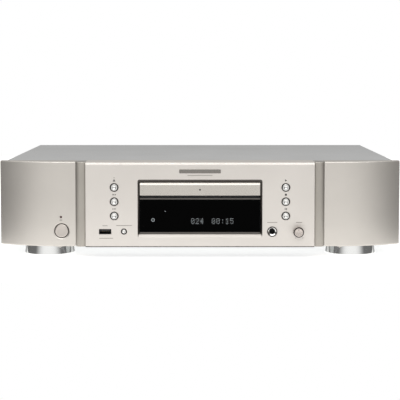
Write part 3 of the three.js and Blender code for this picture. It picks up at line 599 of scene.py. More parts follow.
def make_front_panel():
    shape = new_shape()
    prism(shape, [panel_profile()], "x", -PANEL_HALF, PANEL_HALF, 0.5)
    panel = made_object("front_panel_face", shape)
    cutters = [window_cutter()]
    for node in BUTTONS:
        place = control_place(node)
        cutters.append(bore(4.65, place, FRONT, FRONT + 1.3, 0.4))
        cutters.append(bore(3.9, place, FRONT + 1.2, FRONT + 12, 0.1))
    mode = control_place("mode_button")
    cutters.append(bore(3.35, mode, FRONT, FRONT + 1.0, 0.25))
    cutters.append(bore(2.5, mode, FRONT + 0.9, FRONT + 12, 0.1))
    cutters.append(bore(5.5, control_place("headphone_jack"), FRONT, FRONT + 12, 0.2))
    cutters.append(bore(3.6, control_place("level_knob"), FRONT, FRONT + 12, 0.2))
    x, z = control_place("usb_port")
    port = new_shape()
    prism(port, [centred(x, z, 6.75, 2.9, 0.5)], "y", FRONT - 1, FRONT + 12, 0)
    cutters.append(port)
    carve(panel, *cutters)
    dressed(panel, ALUMINIUM, "chassis", ["front_panel"], sharp=24)
    # Painted shade: a black strip under the panel's foot stands in for the shadow line along its bottom
    # edge.
    part("panel_foot_strip", made(block, (-PANEL_HALF, FRONT + 0.5, BASE),
                                  (PANEL_HALF, BACK_OF_FRONT, BASE + SHADOW_GAP - 0.05), 0.1, "x"), BLACK)
    make_window_shade_liner()


def make_window_shade_liner():
    """Painted shade: a dark facing on the top and side slopes of the window, standing in for the dark
    reflection and shade they show.
    """
    shape = new_shape()
    stand = 0.06
    rings = [window_outline(share, stand) for share in (0.97, 0.02)]
    sides = slice(WINDOW_STEPS, 3 * WINDOW_STEPS + 4)
    depths = (FRONT + 0.1, FRONT + SLOPE_DEPTH - stand)
    rows = [[at("y", u, v, w) for u, v in ring[sides]] for ring, w in zip(rings, depths)]
    skin(shape, rows, capped=False, looped=False)
    liner = made_object("window_shade_liner", shape)
    dressed(liner, LINER)
    skin_depth = liner.modifiers.new("thickness", "SOLIDIFY")
    skin_depth.thickness = 0.05 * MM


def wing_outline():
    """The right wing seen from above: flat by the pillar, then swept back on one arc."""
    low, high = span("right_wing")
    radius = 137.0
    flat_end = 152.0
    face = low.y
    middle = (flat_end, face + radius)
    sweep = math.degrees(math.asin((high.x - flat_end) / radius))
    return (
        [(low.x, high.y), (low.x, face)]
        + arc(middle, radius, -90, -90 + sweep, 28)
        + [(high.x, high.y - 1.5), (high.x - 1.5, high.y)]
    )


def make_wing(side):
    """A hollow moulding; side is 1 for the right wing and -1 for the left."""
    shape = new_shape()
    outline = wing_outline()
    prism(shape, [outline], "z", BASE, CROWN, 1.5, 5)
    hollow = new_shape()
    back = span("right_wing")[1].y
    inner = [(u, v) for u, v in inset(outline, 3.0) if v < back - 4]
    inner = [(inner[0][0], back + 2)] + inner + [(inner[-1][0], back + 2)]
    prism(hollow, [inner], "z", BASE + 3, CROWN - 2.6, 0)
    if side < 0:
        mirror = Matrix.Scale(-1, 4, (1, 0, 0))
        bmesh.ops.transform(shape, matrix=mirror, verts=shape.verts)
        bmesh.ops.transform(hollow, matrix=mirror, verts=hollow.verts)
    name = "right_wing" if side > 0 else "left_wing"
    wing = made_object(name + "_shell", shape)
    carve(wing, hollow)
    if side < 0:
        face = span("left_wing")[0].y
        place = control_place("power_button")
        dish = new_shape()
        slope = [(11.0, face - 1), (9.4, face), (9.2, face + 0.1), (8.1, face + 0.7)]
        turned(dish, slope + [(8.0, face + 1.6), (7.6, face + 1.65), (7.6, face + 12)], "y", place)
        carve(wing, dish, bore(1.25, control_place("standby_led"), face, face + 12, 0.15, 24))
    dressed(wing, WING, "chassis", [name], sharp=28)


def make_pillar(side):
    """A rounded column that stands back between the panel and a wing."""
    low, high = span("right_pillar")
    middle = (low.x + high.x) / 2
    half = (high.x - low.x) / 2
    panel_fall = 0.7
    wing_fall = 2.6
    front = []
    for step in range(25):
        angle = math.radians(-90 + 180 * step / 24)
        fall = panel_fall if angle < 0 else wing_fall
        front.append((middle + half * math.sin(angle), low.y + fall * (1 - math.cos(angle)) ** 0.9))
    outline = [(low.x, high.y)] + front + [(high.x, high.y)]
    outline = [(side * u, v) for u, v in outline]
    shape = new_shape()
    prism(shape, [outline], "z", BASE, high.z, 0.8, 3)
    name = "right_pillar" if side > 0 else "left_pillar"
    part(name + "_column", shape, PILLAR, "chassis", [name], sharp=40)


make_front_panel()
for side in (1, -1):
    make_wing(side)
    make_pillar(side)


# ---------------------------------------------------------------- window, display and drawer face
def make_window_bezel():
    """Plastic moulding behind the window: mask round the display, sill and cross rail."""
    low, high = span("window_bezel")
    shape = new_shape()
    holes = [rectangle(-58, 58, 32, 58.5, 1), rectangle(-65.6, 65.6, 66.25, 82.8, 0.4)]
    prism(shape, [rectangle(low.x, high.x, low.z, high.z, 1)] + holes, "y", FRONT + 4.5, high.y, 0.1)
    part("window_mask", shape, BLACK, "chassis", ["window_bezel"])
    rails = new_shape()
    for bottom, top in ((26.3, 28.4), (64.0, 65.4)):
        block(rails, (-65.55, low.y, bottom), (65.55, FRONT + 4.6, top), 0.35, "x")
    part("window_rails", rails, GREY)


def make_display_window():
    low, high = span("display_window")
    part("display_pane", made(block, low, high, 0.25, "y"), ACRYLIC, "chassis", ["display_window"])


# Five-by-seven dot characters, one number for each row of dots from the top down.
DIGITS = {
    "0": (14, 17, 19, 21, 25, 17, 14),
    "1": (4, 12, 4, 4, 4, 4, 14),
    "2": (14, 17, 1, 2, 4, 8, 31),
    "5": (31, 16, 30, 1, 1, 17, 14),
    ":": (0, 4, 4, 0, 4, 4, 0),
    "<": (2, 6, 14, 30, 14, 6, 2),
}
DOT = 0.44
DOT_STEP_X = 0.76
DOT_STEP_Z = 0.93
CHARACTER_STEP = 4.95
DIGIT_LOW = 37.4


def character_dots(character, left, lit):
    """Corners of a character's lit or unlit dots."""
    rows = DIGITS[character]
    for down, row in enumerate(rows):
        for across in range(5):
            if bool(row >> (4 - across) & 1) == lit:
                x = left + across * DOT_STEP_X
                z = DIGIT_LOW + (6 - down) * DOT_STEP_Z
                yield x, z


def flat_mark(shape, outline, face, thick=0.05):
    """A printed mark that stands a hair off a surface at face, towards the front."""
    prism(shape, [outline], "y", face - thick, face + 0.02, 0)


def make_display():
    """Track number and time in dots, a plain ring with a dot for a disc, and one small lamp."""
    glass_face = span("display_window")[0].y
    groups = [("02<", -9.6), ("00:15", 12.9)]
    for name, lit, look in (("lit_dots", True, LIT), ("unlit_dots", False, DIM)):
        shape = new_shape()
        for text, left in groups:
            for place, character in enumerate(text):
                for x, z in character_dots(character, left + place * CHARACTER_STEP, lit):
                    if lit or character != ":":
                        flat_mark(shape, rectangle(x, x + DOT, z, z + DOT * 1.15), glass_face, 0.03)
        if lit:
            flat_mark(shape, circle((-37.8, 51.2), 0.45, 16), glass_face, 0.03)
        part(name, shape, look)
    sign = new_shape()
    middle = (-51, 41.7)
    prism(sign, [circle(middle, 1.9, 24), circle(middle, 1.4, 24)], "y", glass_face - 0.03,
          glass_face + 0.02, 0)
    flat_mark(sign, circle(middle, 0.45, 16), glass_face, 0.03)
    part("disc_sign", sign, LIT)


def make_drawer_face():
    """The drawer's aluminium face: a wide slope along the top, then a flat front."""
    low, high = span("tray_door")
    profile = (
        [(high.y, low.z), (high.y, high.z)]
        + [(low.y + 1.6, high.z), (low.y + 1.2, high.z - 0.15)]
        + [(low.y + 0.05, high.z - 2.3), (low.y, high.z - 2.55)]
        + arc((low.y + 0.5, low.z + 0.5), 0.5, 180, 270, 3)
    )
    part("drawer_face", made(prism, [profile], "x", low.x, high.x, 0.35), DOOR, "tray", ["tray_door"],
         sharp=20)
    profile = [(0, low.y - 0.25), (0.75, low.y - 0.2), (1.0, low.y - 0.02), (1.0, low.y + 0.1),
               (0, low.y + 0.1)]
    part("drawer_dot", made(turned, profile, "y", (0, 74.7), 32), PRINT, "tray")


# ---------------------------------------------------------------- controls
def dished_cap(radius, rim, depth, front):
    """Profile of a cap with a smooth dish inside a flat rim, and a rounded outer edge."""
    dish = [(rim * i / 12, front + depth * math.cos(math.pi * i / 24) ** 2) for i in range(13)]
    return dish + arc((radius - 0.5, front + 0.5), 0.5, -90, 0, 5)


def dome(radius, ball, front):
    """Profile of a dome of the given edge radius, cut from a ball."""
    lean = math.asin(radius / ball)
    angles = [lean * i / 12 for i in range(13)]
    return [(ball * math.sin(a), front + ball * (1 - math.cos(a))) for a in angles]


def make_transport_buttons():
    seats = new_shape()
    for node in BUTTONS:
        place = control_place(node)
        back = span(node)[1].y
        cap = dished_cap(CAP_RADIUS, 2.4, 0.9, FRONT - 0.3)
        profile = cap + [(CAP_RADIUS, FRONT + 4), (5, FRONT + 4), (5, FRONT + 5.2),
                         (1.8, FRONT + 5.2), (1.8, back), (0, back)]
        part(node.replace("_button", "_cap"), made(turned, profile, "y", place, 48), KEY_CHROME, node,
             [node], sharp=40)
        prism(seats, [circle(place, 4.72), circle(place, CAP_RADIUS + 0.05)], "y", FRONT + 0.95,
              FRONT + 1.6, 0.1)
    x, z = control_place("mode_button")
    prism(seats, [circle((x, z), 3.36), circle((x, z), 2.3)], "y", FRONT + 0.45, FRONT + 1.02, 0.1)
    part("button_seats", seats, SEAT_BLACK)
    back = span("mode_button")[1].y
    cap = dished_cap(2.2, 1.5, 0.55, FRONT + 0.1)
    profile = cap + [(2.2, FRONT + 4), (3.6, FRONT + 4), (3.6, FRONT + 5.2),
                     (1.2, FRONT + 5.2), (1.2, back), (0, back)]
    part("mode_cap", made(turned, profile, "y", (x, z), 40), KEY_CHROME, "mode_button", ["mode_button"],
         sharp=40)


def make_power_button():
    """A satin cap in a chamfered well, with a black gasket that shows as a ring round it."""
    place = control_place("power_button")
    back = span("power_button")[1].y
    face = span("left_wing")[0].y
    cap = [(0, face - 0.2), (3, face - 0.24), (5, face - 0.34), (5.9, face - 0.4)]
    cap += arc((6.1, face + 0.8), 1.2, -90, 0, 8)
    cap += [(7.3, face + 3.4), (9.1, face + 3.4), (9.1, face + 4.6), (3, face + 4.6), (3, back), (0, back)]
    part("power_cap", made(turned, cap, "y", place, 72), POWER_CAP, "power_button", ["power_button"],
         sharp=40)
    rings = [circle(place, 8.06, 72), circle(place, 7.36, 72)]
    part("power_gasket", made(prism, rings, "y", face + 0.6, face + 1.6, 0.1), SEAT_BLACK)


def make_level_knob():
    """Turned knob with fine flutes round its skirt and a shallow dished face."""
    x, z = control_place("level_knob")
    low, high = span("level_knob")
    sides = 144
    flutes = 36
    shape = new_shape()
    profile = [(0.01, low.y + 0.25), (3.6, low.y + 0.2), (4.3, low.y), (4.55, low.y + 0.1),
               (4.6, low.y + 0.5), (5.3, low.y + 1.1), (5.6, FRONT - 1.2), (5.6, FRONT - 0.7),
               (3, FRONT - 0.6), (3, high.y), (0.01, high.y)]
    rings = []
    for number, (radius, place) in enumerate(profile):
        ring = []
        for i in range(sides):
            angle = TURN * i / sides
            groove = 0.14 * (0.5 - 0.5 * math.cos(flutes * angle)) if 5 <= number <= 7 else 0
            ring.append(at("y", x + (radius - groove) * math.cos(angle),
                           z + (radius - groove) * math.sin(angle), place))
        rings.append(ring)
    skin(shape, rings)
    part("level_knob_cap", shape, KNOB, "level_knob", ["level_knob"], sharp=40)
    # Painted shade: a black band over the knob's front edge stands in for the dark shaded outline round the
    # knob.
    profile = [(4.62, low.y + 1), (4.62, low.y + 0.2), (4.8, low.y + 0.1), (5.35, low.y + 0.6),
               (5.6, low.y + 1.1), (5.6, low.y + 1.9), (5.2, low.y + 1.9), (4.62, low.y + 1)]
    part("level_knob_shade_band", made(turned, profile, "y", (x, z), 72), SEAT_BLACK, "level_knob",
         slot="dark_plastic")
    part("level_knob_line", made(block, (x - 0.25, low.y - 0.02, z + 1.6), (x + 0.25, low.y + 0.4, z + 4.2),
                                 0.1, "y"), PRINT, "level_knob")


def make_headphone_jack():
    """Chrome bush with a funnel mouth, a dark nut round it, and a black sleeve in its bore."""
    place = control_place("headphone_jack")
    low, high = span("headphone_jack")
    shape = new_shape()
    profile = [(3.45, high.y - 2), (3.45, low.y + 2.3), (3.2, low.y + 2.1), (3.2, low.y + 1.9),
               (4.4, low.y + 1.0), (4.5, low.y + 1.2), (4.5, high.y), (0, high.y), (0, high.y - 2)]
    turned(shape, profile + [profile[0]], "y", place, 56)
    part("headphone_bush", shape, KEY_CHROME, "chassis", ["headphone_jack"], sharp=40)
    nut = new_shape()
    profile = [(4.42, low.y + 3), (4.42, low.y + 0.6)] + arc((4.83, low.y + 0.5), 0.41, 180, 360, 8)
    turned(nut, profile + [(5.25, low.y + 3), (4.42, low.y + 3)], "y", place, 56)
    part("headphone_nut", nut, LINER)
    profile = [(0, high.y - 2.2), (3.18, high.y - 2.2), (3.18, low.y + 2.6), (3.3, low.y + 2.4),
               (3.44, low.y + 2.4), (3.44, high.y - 2.05), (0, high.y - 2.05)]
    part("headphone_sleeve", made(turned, profile, "y", place, 48), BLACK)


def make_usb_port():
    """Folded shell round a black tongue with four contacts."""
    low, high = span("usb_port")
    x = (low.x + high.x) / 2
    z = (low.z + high.z) / 2
    shell = new_shape()
    outline = [rectangle(low.x, high.x, low.z, high.z, 0.5),
               rectangle(low.x + 0.4, high.x - 0.4, low.z + 0.4, high.z - 0.4, 0.3)]
    prism(shell, outline, "y", low.y + 0.3, high.y, 0.12, 2)
    part("usb_shell", shell, USB_STEEL, "chassis", ["usb_port"])
    inner = new_shape()
    block(inner, (x - 5.5, low.y + 1.6, z + 0.3), (x + 5.5, high.y - 0.2, z + 1.9), 0.15, "y")
    block(inner, (x - 6.0, high.y - 2, z - 2.2), (x + 6.0, high.y - 0.5, z + 2.2), 0.1, "y")
    part("usb_tongue", inner, BLACK)
    contacts = new_shape()
    for step in (-3.5, -1.0, 1.0, 3.5):
        block(contacts, (x + step - 0.45, low.y + 2.2, z + 0.18), (x + step + 0.45, high.y - 3, z + 0.32),
              0.05, "y")
    part("usb_contacts", contacts, GOLD)


def make_standby_lamp():
    x, z = control_place("standby_led")
    low, high = span("standby_led")
    profile = dome(0.93, 1.2, low.y - 0.1) + [(0.95, high.y), (0, high.y)]
    part("standby_lamp", made(turned, profile, "y", (x, z), 28), LED, "chassis", ["standby_led"])


# ---------------------------------------------------------------- printed and inlaid marks on the front
def make_nameplate():
    """A blank polished bar over the drawer, with nothing written on it."""
    shape = new_shape()
    outline = rectangle(-22.5, 22.5, 92.8, 97.0, 0.8)
    prism(shape, [outline], "y", FRONT - 0.45, FRONT + 0.1, 0.25)
    part("nameplate", shape, NAMEPLATE)


# Middle and width of each label's dash.
LABELS = [(-103, 35.7, 5.5), (-82.4, 35.9, 17), (-101.8, 22, 15), (78.3, 39.3, 11), (107.4, 39.3, 6.5),
          (0, 90.4, 27)]


def make_labels():
    """One plain dash for each label, with no lettering, and dots at the ends of the level."""
    shape = new_shape()
    for x, z, width in LABELS:
        flat_mark(shape, rectangle(x - width / 2, x + width / 2, z - 0.35, z + 0.35, 0.2, 2), FRONT)
    for x in (103.6, 111.5):
        flat_mark(shape, circle((x, 22.4), 0.5, 16), FRONT)
    flat_mark(shape, circle((-93, 88), 0.55, 16), FRONT)
    face = span("left_wing")[0].y
    flat_mark(shape, rectangle(-153, -150, 40.6, 41.6, 0.2, 2), face)
    part("label_dashes", shape, LABEL_PRINT)


def triangle(x, z, wide, high):
    """A triangle that points to +X from x, or to -X when wide is negative."""
    return [(x, z - high / 2), (x + wide, z), (x, z + high / 2)]


def make_transport_marks():
    """The usual signs over the buttons: eject, skip back, skip on; play, stop, pause."""
    shape = new_shape()
    for node in BUTTONS:
        x, z = control_place(node)
        z += 7.7
        if node == "open_close_button":
            outlines = [[(x - 1.4, z - 0.4), (x + 1.4, z - 0.4), (x, z + 1.4)],
                        rectangle(x - 1.4, x + 1.4, z - 1.3, z - 0.75)]
        elif node.startswith("skip"):
            way = -1 if node == "skip_back_button" else 1
            left, right = sorted((x + way * 1.5, x + way * 1.9))
            outlines = [rectangle(left, right, z - 0.75, z + 0.75)]
            outlines += [triangle(x - way * start, z, way * 1.5, 1.5) for start in (0.1, 1.8)]
        elif node == "play_button":
            outlines = [triangle(x - 0.95, z, 2.2, 2.5)]
        elif node == "stop_button":
            outlines = [centred(x, z, 1.1, 1.1)]
        else:
            outlines = [rectangle(x + step, x + step + 0.75, z - 1.05, z + 1.05) for step in (-1.15, 0.4)]
        for outline in outlines:
            flat_mark(shape, outline if area_of(outline) > 0 else outline[::-1], FRONT)
    part("transport_marks", shape, PRINT)


for make in (make_window_bezel, make_display_window, make_display, make_drawer_face, make_transport_buttons,
             make_power_button, make_level_knob, make_headphone_jack, make_usb_port, make_standby_lamp,
             make_nameplate, make_labels, make_transport_marks):
    make()


# ---------------------------------------------------------------- case
SHEET = 1.2
# Places on the rear panel: across, or across and up.
AUDIO_X = (148, 164)
COAXIAL_X = 100
OPTICAL_X = 118
REMOTE_X = (184, 196)
JACK_Z = 34
INLET = (-170, 44)


def screw(shape, place, axis, out, radius=2.9, dome_high=1.5):
    """A pan-head screw with a pit at its middle; out is 1 or -1 along the axis from its seat at place."""
    u, v, seat = place
    lean = [math.radians(90 * i / 6) for i in range(7)]
    profile = [(radius * math.cos(a), seat + out * dome_high * math.sin(a)) for a in lean]
    profile = [(radius, seat - out * 0.3)] + profile[:-1]
    face = seat + out * dome_high
    profile += [(1.1, face), (0.5, face - out * 0.9), (0, face - out * 1.0)]
    turned(shape, profile, axis, (u, v), 24)


def cross(shape, place, axis, out, reach=1.5):
    """The dark cross on a screw's head."""
    u, v, seat = place
    low, high = sorted((seat, seat + out * 0.06))
    for wide, tall in ((reach, 0.28), (0.28, reach)):
        prism(shape, [rectangle(u - wide, u + wide, v - tall, v + tall)], axis, low, high, 0)


def make_screws(name, look, places, body="chassis", radius=2.9, dome_high=1.5):
    """Places are (axis, out, u, v, seat)."""
    heads = new_shape()
    marks = new_shape()
    for axis, out, u, v, seat in places:
        screw(heads, (u, v, seat), axis, out, radius, dome_high)
        cross(marks, (u, v, seat + out * (dome_high - 0.02)), axis, out, radius * 0.55)
    part(name, heads, look, body, slot="bright_steel")
    part(name + "_crosses", marks, PRINT, body)


def make_cover():
    """Folded sheet cover: rounded long edges, and a rear edge that turns down into a short lip."""
    low, high = span("top_cover")
    start = low.y
    fold = 1.1
    shape = new_shape()
    outline = rectangle(low.x, high.x, low.z - 12, high.z, 1.3, 6)
    prism(shape, [outline], "y", start - fold, high.y, fold, 6)
    cover = made_object("cover_sheet", shape)
    room = new_shape()
    inner = rectangle(low.x + SHEET, high.x - SHEET, low.z - 20, high.z - SHEET, 1, 6)
    prism(room, [inner], "y", start - 10, high.y - SHEET, 0)
    under = new_shape()
    prism(under, [rectangle(-300, 300, low.z - 40, low.z)], "y", start - 20, high.y + 20, 0)
    ahead = new_shape()
    prism(ahead, [rectangle(-300, 300, low.z - 50, high.z + 20)], "y", start - 20, start, 0)
    opening = new_shape()
    behind = rectangle(low.x + SHEET, high.x - SHEET, low.z - 30, 94)
    prism(opening, [behind], "y", high.y - 4, high.y + 10, 0)
    carve(cover, room, under, ahead, opening)
    dressed(cover, COVER, "chassis", ["top_cover"], sharp=24)
    sides = [("x", side, y, 30, side * high.x) for side in (-1, 1) for y in (-84, 84)]
    make_screws("cover_screws", BLACK_SCREW, sides, "chassis", 3.6, 0.95)
    lip = [("y", 1, x, 97.6, high.y - 0.1) for x in (-190, -64, 64, 190)]
    make_screws("lip_screws", BLACK_SCREW, lip)


def make_rear_panel():
    """Flat sheet with the sockets' holes, printed frames, rows of vents and a blank plate."""
    low, high = span("rear_panel")
    shape = new_shape()
    prism(shape, [rectangle(low.x, high.x, low.z, high.z, 2.2)], "y", low.y, high.y, 0.15, 2)
    panel = made_object("rear_sheet", shape)
    cutters = []
    for x in (*AUDIO_X, COAXIAL_X):
        cutters.append(rear_hole(circle((x, JACK_Z), 5.0, 32)))
    cutters.append(rear_hole(centred(OPTICAL_X, JACK_Z, 5.8, 5.8)))
    for x in REMOTE_X:
        cutters.append(rear_hole(circle((x, JACK_Z), 4.2, 28)))
    x, z = INLET
    cutters.append(rear_hole(centred(x, z, 14.3, 10.5)))
    vents = new_shape()
    for row in range(3):
        for column in range(16):
            left = -60 + column * 8
            base = 66 + row * 9
            slot = rectangle(left, left + 3, base, base + 6.5, 1.4, 3)
            prism(vents, [slot], "y", low.y - 2, high.y + 2, 0)
    carve(panel, *cutters, vents)
    dressed(panel, COVER, "chassis", ["rear_panel"], sharp=24)
    print_shape = new_shape()
    outlines = []
    frames = [(AUDIO_X[0] - 10, AUDIO_X[1] + 10, 22, 50), (COAXIAL_X - 9, OPTICAL_X + 10, 22, 50),
              (REMOTE_X[0] - 7, REMOTE_X[1] + 7, 22, 50), (INLET[0] - 24, INLET[0] + 24, 26, 66)]
    for left, right, base, top in frames:
        edge = rectangle(left, right, base, top, 1.5, 4)
        outlines.append([edge, rectangle(left + 0.4, right - 0.4, base + 0.4, top - 0.4, 1.2, 4)])
        middle = (left + right) / 2
        outlines.append([rectangle(middle - 7, middle + 7, top + 2, top + 3)])
    sockets = (*AUDIO_X, COAXIAL_X, OPTICAL_X, *REMOTE_X)
    outlines += [[rectangle(x - 2.6, x + 2.6, 43.6, 44.4)] for x in sockets]
    for outline in outlines:
        prism(print_shape, outline, "y", high.y - 0.02, high.y + 0.05, 0)
    part("rear_print", print_shape, PRINT)
    outlines = [rectangle(-58, -4, 24, 48, 1.5)]
    part("blank_plate", made(prism, outlines, "y", high.y, high.y + 0.15, 0.05, 1), STEEL)
    places = [(x, z) for x in (-206, 206) for z in (20, 87)] + [(-100, 20), (60, 20), (132, 60), (-206, 58)]
    seats = [("y", 1, x, z, high.y) for x, z in places]
    make_screws("rear_screws", BLACK_SCREW, seats, "chassis", 2.7, 1.2)


def rear_hole(outline):
    low, high = span("rear_panel")
    shape = new_shape()
    prism(shape, [outline], "y", low.y - 3, high.y + 3, 0)
    return shape


def phono_socket(metal, ring, x):
    """Gold shell with a rolled rim and a gold contact tube, with a coloured core and washer."""
    out = span("audio_out_jacks")[1].y
    wall = span("rear_panel")[1].y
    profile = [(3.45, wall - 1), (3.45, out - 0.3)]
    profile += arc((3.8, out - 0.35), 0.35, 180, 0, 6)
    profile += [(4.15, wall + 2.6), (4.5, wall + 2.3), (4.5, wall + 1.6), (3.45, wall - 1)]
    turned(metal, profile, "y", (x, JACK_Z), 40)
    profile = [(1.7, wall), (1.7, out - 1.0), (2.0, out - 0.8), (2.1, out - 1.2), (2.1, wall), (1.7, wall)]
    turned(metal, profile, "y", (x, JACK_Z), 24)
    profile = [(2.15, wall), (2.15, out - 1.6), (3.4, out - 1.6), (3.4, wall), (2.15, wall)]
    turned(ring, profile, "y", (x, JACK_Z), 32)
    profile = [(4.6, wall), (4.6, wall + 1.5), (5.6, wall + 1.5)]
    profile += [(5.9, wall + 1.2), (5.9, wall), (4.6, wall)]
    turned(ring, profile, "y", (x, JACK_Z), 40)


def make_rear_sockets():
    wall = span("rear_panel")[1].y
    for name, places, look in (("left", AUDIO_X[:1], IVORY), ("right", AUDIO_X[1:], RED_PLASTIC),
                               ("coaxial", (COAXIAL_X,), ORANGE_PLASTIC)):
        metal = new_shape()
        ring = new_shape()
        for x in places:
            phono_socket(metal, ring, x)
        stands = {"left": ["audio_out_jacks"], "coaxial": ["digital_out_jacks"]}.get(name, [])
        part(name + "_socket", metal, GOLD, "chassis", stands, sharp=40)
        part(name + "_socket_ring", ring, look, slot="ivory_plastic")
    blocks = new_shape()
    back = span("audio_out_jacks")[0]
    for left, right in ((AUDIO_X[0] - 9, AUDIO_X[1] + 9), (COAXIAL_X - 9, OPTICAL_X + 9),
                        (REMOTE_X[0] - 6.2, REMOTE_X[1] + 6.2)):
        block(blocks, (left, back.y, back.z), (right, span("rear_panel")[0].y - 0.3, 46), 0.5, "z")
    part("socket_blocks", blocks, BLACK, "chassis", ["remote_jacks"])
    optical = new_shape()
    outer = centred(OPTICAL_X, JACK_Z, 5.5, 5.5, 0.8)
    inner = centred(OPTICAL_X, JACK_Z, 3.2, 3.2, 0.5)
    prism(optical, [outer, inner], "y", wall - 1, wall + 4.8, 0.3)
    for x in REMOTE_X:
        profile = [(1.8, wall - 6), (1.8, wall + 2.6), (2.1, wall + 2.85), (3.4, wall + 2.85),
                   (3.9, wall + 2.4), (3.9, wall - 1), (1.8, wall - 6)]
        turned(optical, profile, "y", (x, JACK_Z), 32)
    part("digital_and_remote", optical, BLACK)
    part("optical_shutter", made(block, (OPTICAL_X - 3.15, wall + 1.6, JACK_Z - 3.1),
                                 (OPTICAL_X + 3.15, wall + 2.2, JACK_Z + 3.1), 0.2, "y"), DARK)


def make_mains_inlet():
    """Flanged three-pin inlet."""
    low, high = span("ac_inlet")
    x, z = INLET
    wall = span("rear_panel")[1].y
    body = new_shape()
    outer = centred(x, z, 16.5, 12.5, 1.5)
    mouth = [(x - 12, z - 7.8), (x + 12, z - 7.8), (x + 12, z + 3.5), (x + 7.5, z + 7.8),
             (x - 7.5, z + 7.8), (x - 12, z + 3.5)]
    prism(body, [outer, mouth], "y", wall, high.y, 0.5)
    tube = centred(x, z, 13.9, 10.1, 1)
    prism(body, [tube, mouth], "y", low.y, wall + 0.5, 0)
    prism(body, [tube], "y", low.y - 0.1, low.y + 2, 0)
    part("mains_inlet_body", body, BLACK, "chassis", ["ac_inlet"])
    pins = new_shape()
    for dx, dz in ((-7, -1), (0, 3.4), (7, -1)):
        block(pins, (x + dx - 1, low.y + 1.5, z + dz - 2), (x + dx + 1, wall - 1, z + dz + 2), 0.35, "y")
    part("mains_inlet_pins", pins, STEEL)


def make_feet():
    """Turned chrome feet: sides that lean in towards the top, a rounded sole, a rubber pad."""
    for place in ("front_left", "front_right", "rear_left", "rear_right"):
        node = "foot_" + place
        low, high = span(node)
        middle = centre(node)
        radius = (high.x - low.x) / 2
        profile = [(0.1, low.z + 0.2), (21, low.z + 0.1), (radius - 0.7, low.z)]
        profile += arc((radius - 0.5, low.z + 0.5), 0.5, -90, 0, 6)[1:]
        profile += [(radius - 0.05, low.z + 0.8), (radius - 1.6, high.z - 0.3),
                    (radius - 2.4, high.z - 0.25), (radius - 2.4, high.z), (0.1, high.z)]
        part(place + "_foot", made(turned, profile, "z", (middle.x, middle.y), 160), FOOT_CHROME, "chassis",
             [node], sharp=50)
        pad = new_shape()
        low, high = span("foot_pad_" + place)
        pad_radius = (high.x - low.x) / 2
        profile = [(0.1, low.z), (pad_radius - 0.6, low.z)]
        profile += arc((pad_radius - 0.5, low.z + 0.5), 0.5, -90, 0, 4)[1:]
        profile += [(pad_radius, high.z), (0.1, high.z)]
        turned(pad, profile, "z", (middle.x, middle.y), 72)
        part(place + "_pad", pad, RUBBER, "chassis", ["foot_pad_" + place])


make_cover()
make_rear_panel()
make_rear_sockets()
make_mains_inlet()
make_feet()


# ---------------------------------------------------------------- drawer and disc mechanism
DISC = centre("turntable")
SPOT = (DISC.x, DISC.y)


def rack_outline():
    """Module 1 teeth that face the drive gear, on a bar along the drawer."""
    pitch = math.pi
    pitch_line = 52
    gear_y = centre("drive_gear").y
    root, half_root = pitch_line + 1.25, 1.24
    tip, half_tip = pitch_line - 1, 0.42
    points = []
    for i in range(-2, 46):
        middle = gear_y + (i + 0.5) * pitch
        points += [(root, middle - half_root), (tip, middle - half_tip)]
        points += [(tip, middle + half_tip), (root, middle + half_root)]
    back = 57.5
    return ([(back, points[0][1]), (back, points[-1][1])] + points[::-1])


def make_disc_tray():
    """Moulded drawer: two sloped disc bowls, a slot for the turntable, arms, rack, lip and ridges."""
    low, high = span("disc_tray")
    deck = high.z - 5
    shape = new_shape()
    prism(shape, [rectangle(low.x, high.x, low.y, high.y, 2.5, 5)], "z", deck, high.z, 0.6, 3)
    tray = made_object("disc_tray_moulding", shape)
    cutters = []
    for radius, depth, over in ((60.8, 2.0, 1.4), (41.0, 3.2, 2.2)):
        bowl = new_shape()
        profile = [(radius + over, high.z + 0.6), (radius, high.z - depth + 0.3),
                   (radius - 0.3, high.z - depth)]
        turned(bowl, profile, "z", SPOT, 144)
        cutters.append(bowl)
    slot = new_shape()
    keyhole = arc(SPOT, 19, 180, 360, 32) + [(19, high.y + 9), (-19, high.y + 9)]
    prism(slot, [keyhole], "z", deck - 9, high.z + 9, 0)
    between_arms = new_shape()
    prism(between_arms, [rectangle(-44, 44, -24, high.y + 12, 4, 6)], "z", deck - 9, high.z + 9, 0)
    carve(tray, *cutters, slot, between_arms)
    dressed(tray, TRAY_PLASTIC, "tray", ["disc_tray"], sharp=28)
    part("tray_rack", made(prism, [rack_outline()], "z", low.z, deck + 0.3, 0.1), TRAY_PLASTIC, "tray")
    part("tray_lip", made(block, (low.x, low.y + 0.1, low.z + 0.15), (high.x, low.y + 1.1, deck + 0.2), 0.2,
                          "x"), TRAY_PLASTIC, "tray")
    ridges = new_shape()
    for radius in (39.2, 58.6):
        floor = high.z - (3.2 if radius < 41 else 2.0)
        for start, end in ((28, 56), (124, 152), (215, 250), (290, 325)):
            outer = arc(SPOT, radius, start, end, 28)
            inner = arc(SPOT, radius - 0.9, end, start, 28)
            prism(ridges, [outer + inner], "z", floor - 0.3, floor + 0.3, 0.15)
    part("tray_ridges", ridges, TRAY_PLASTIC, "tray")


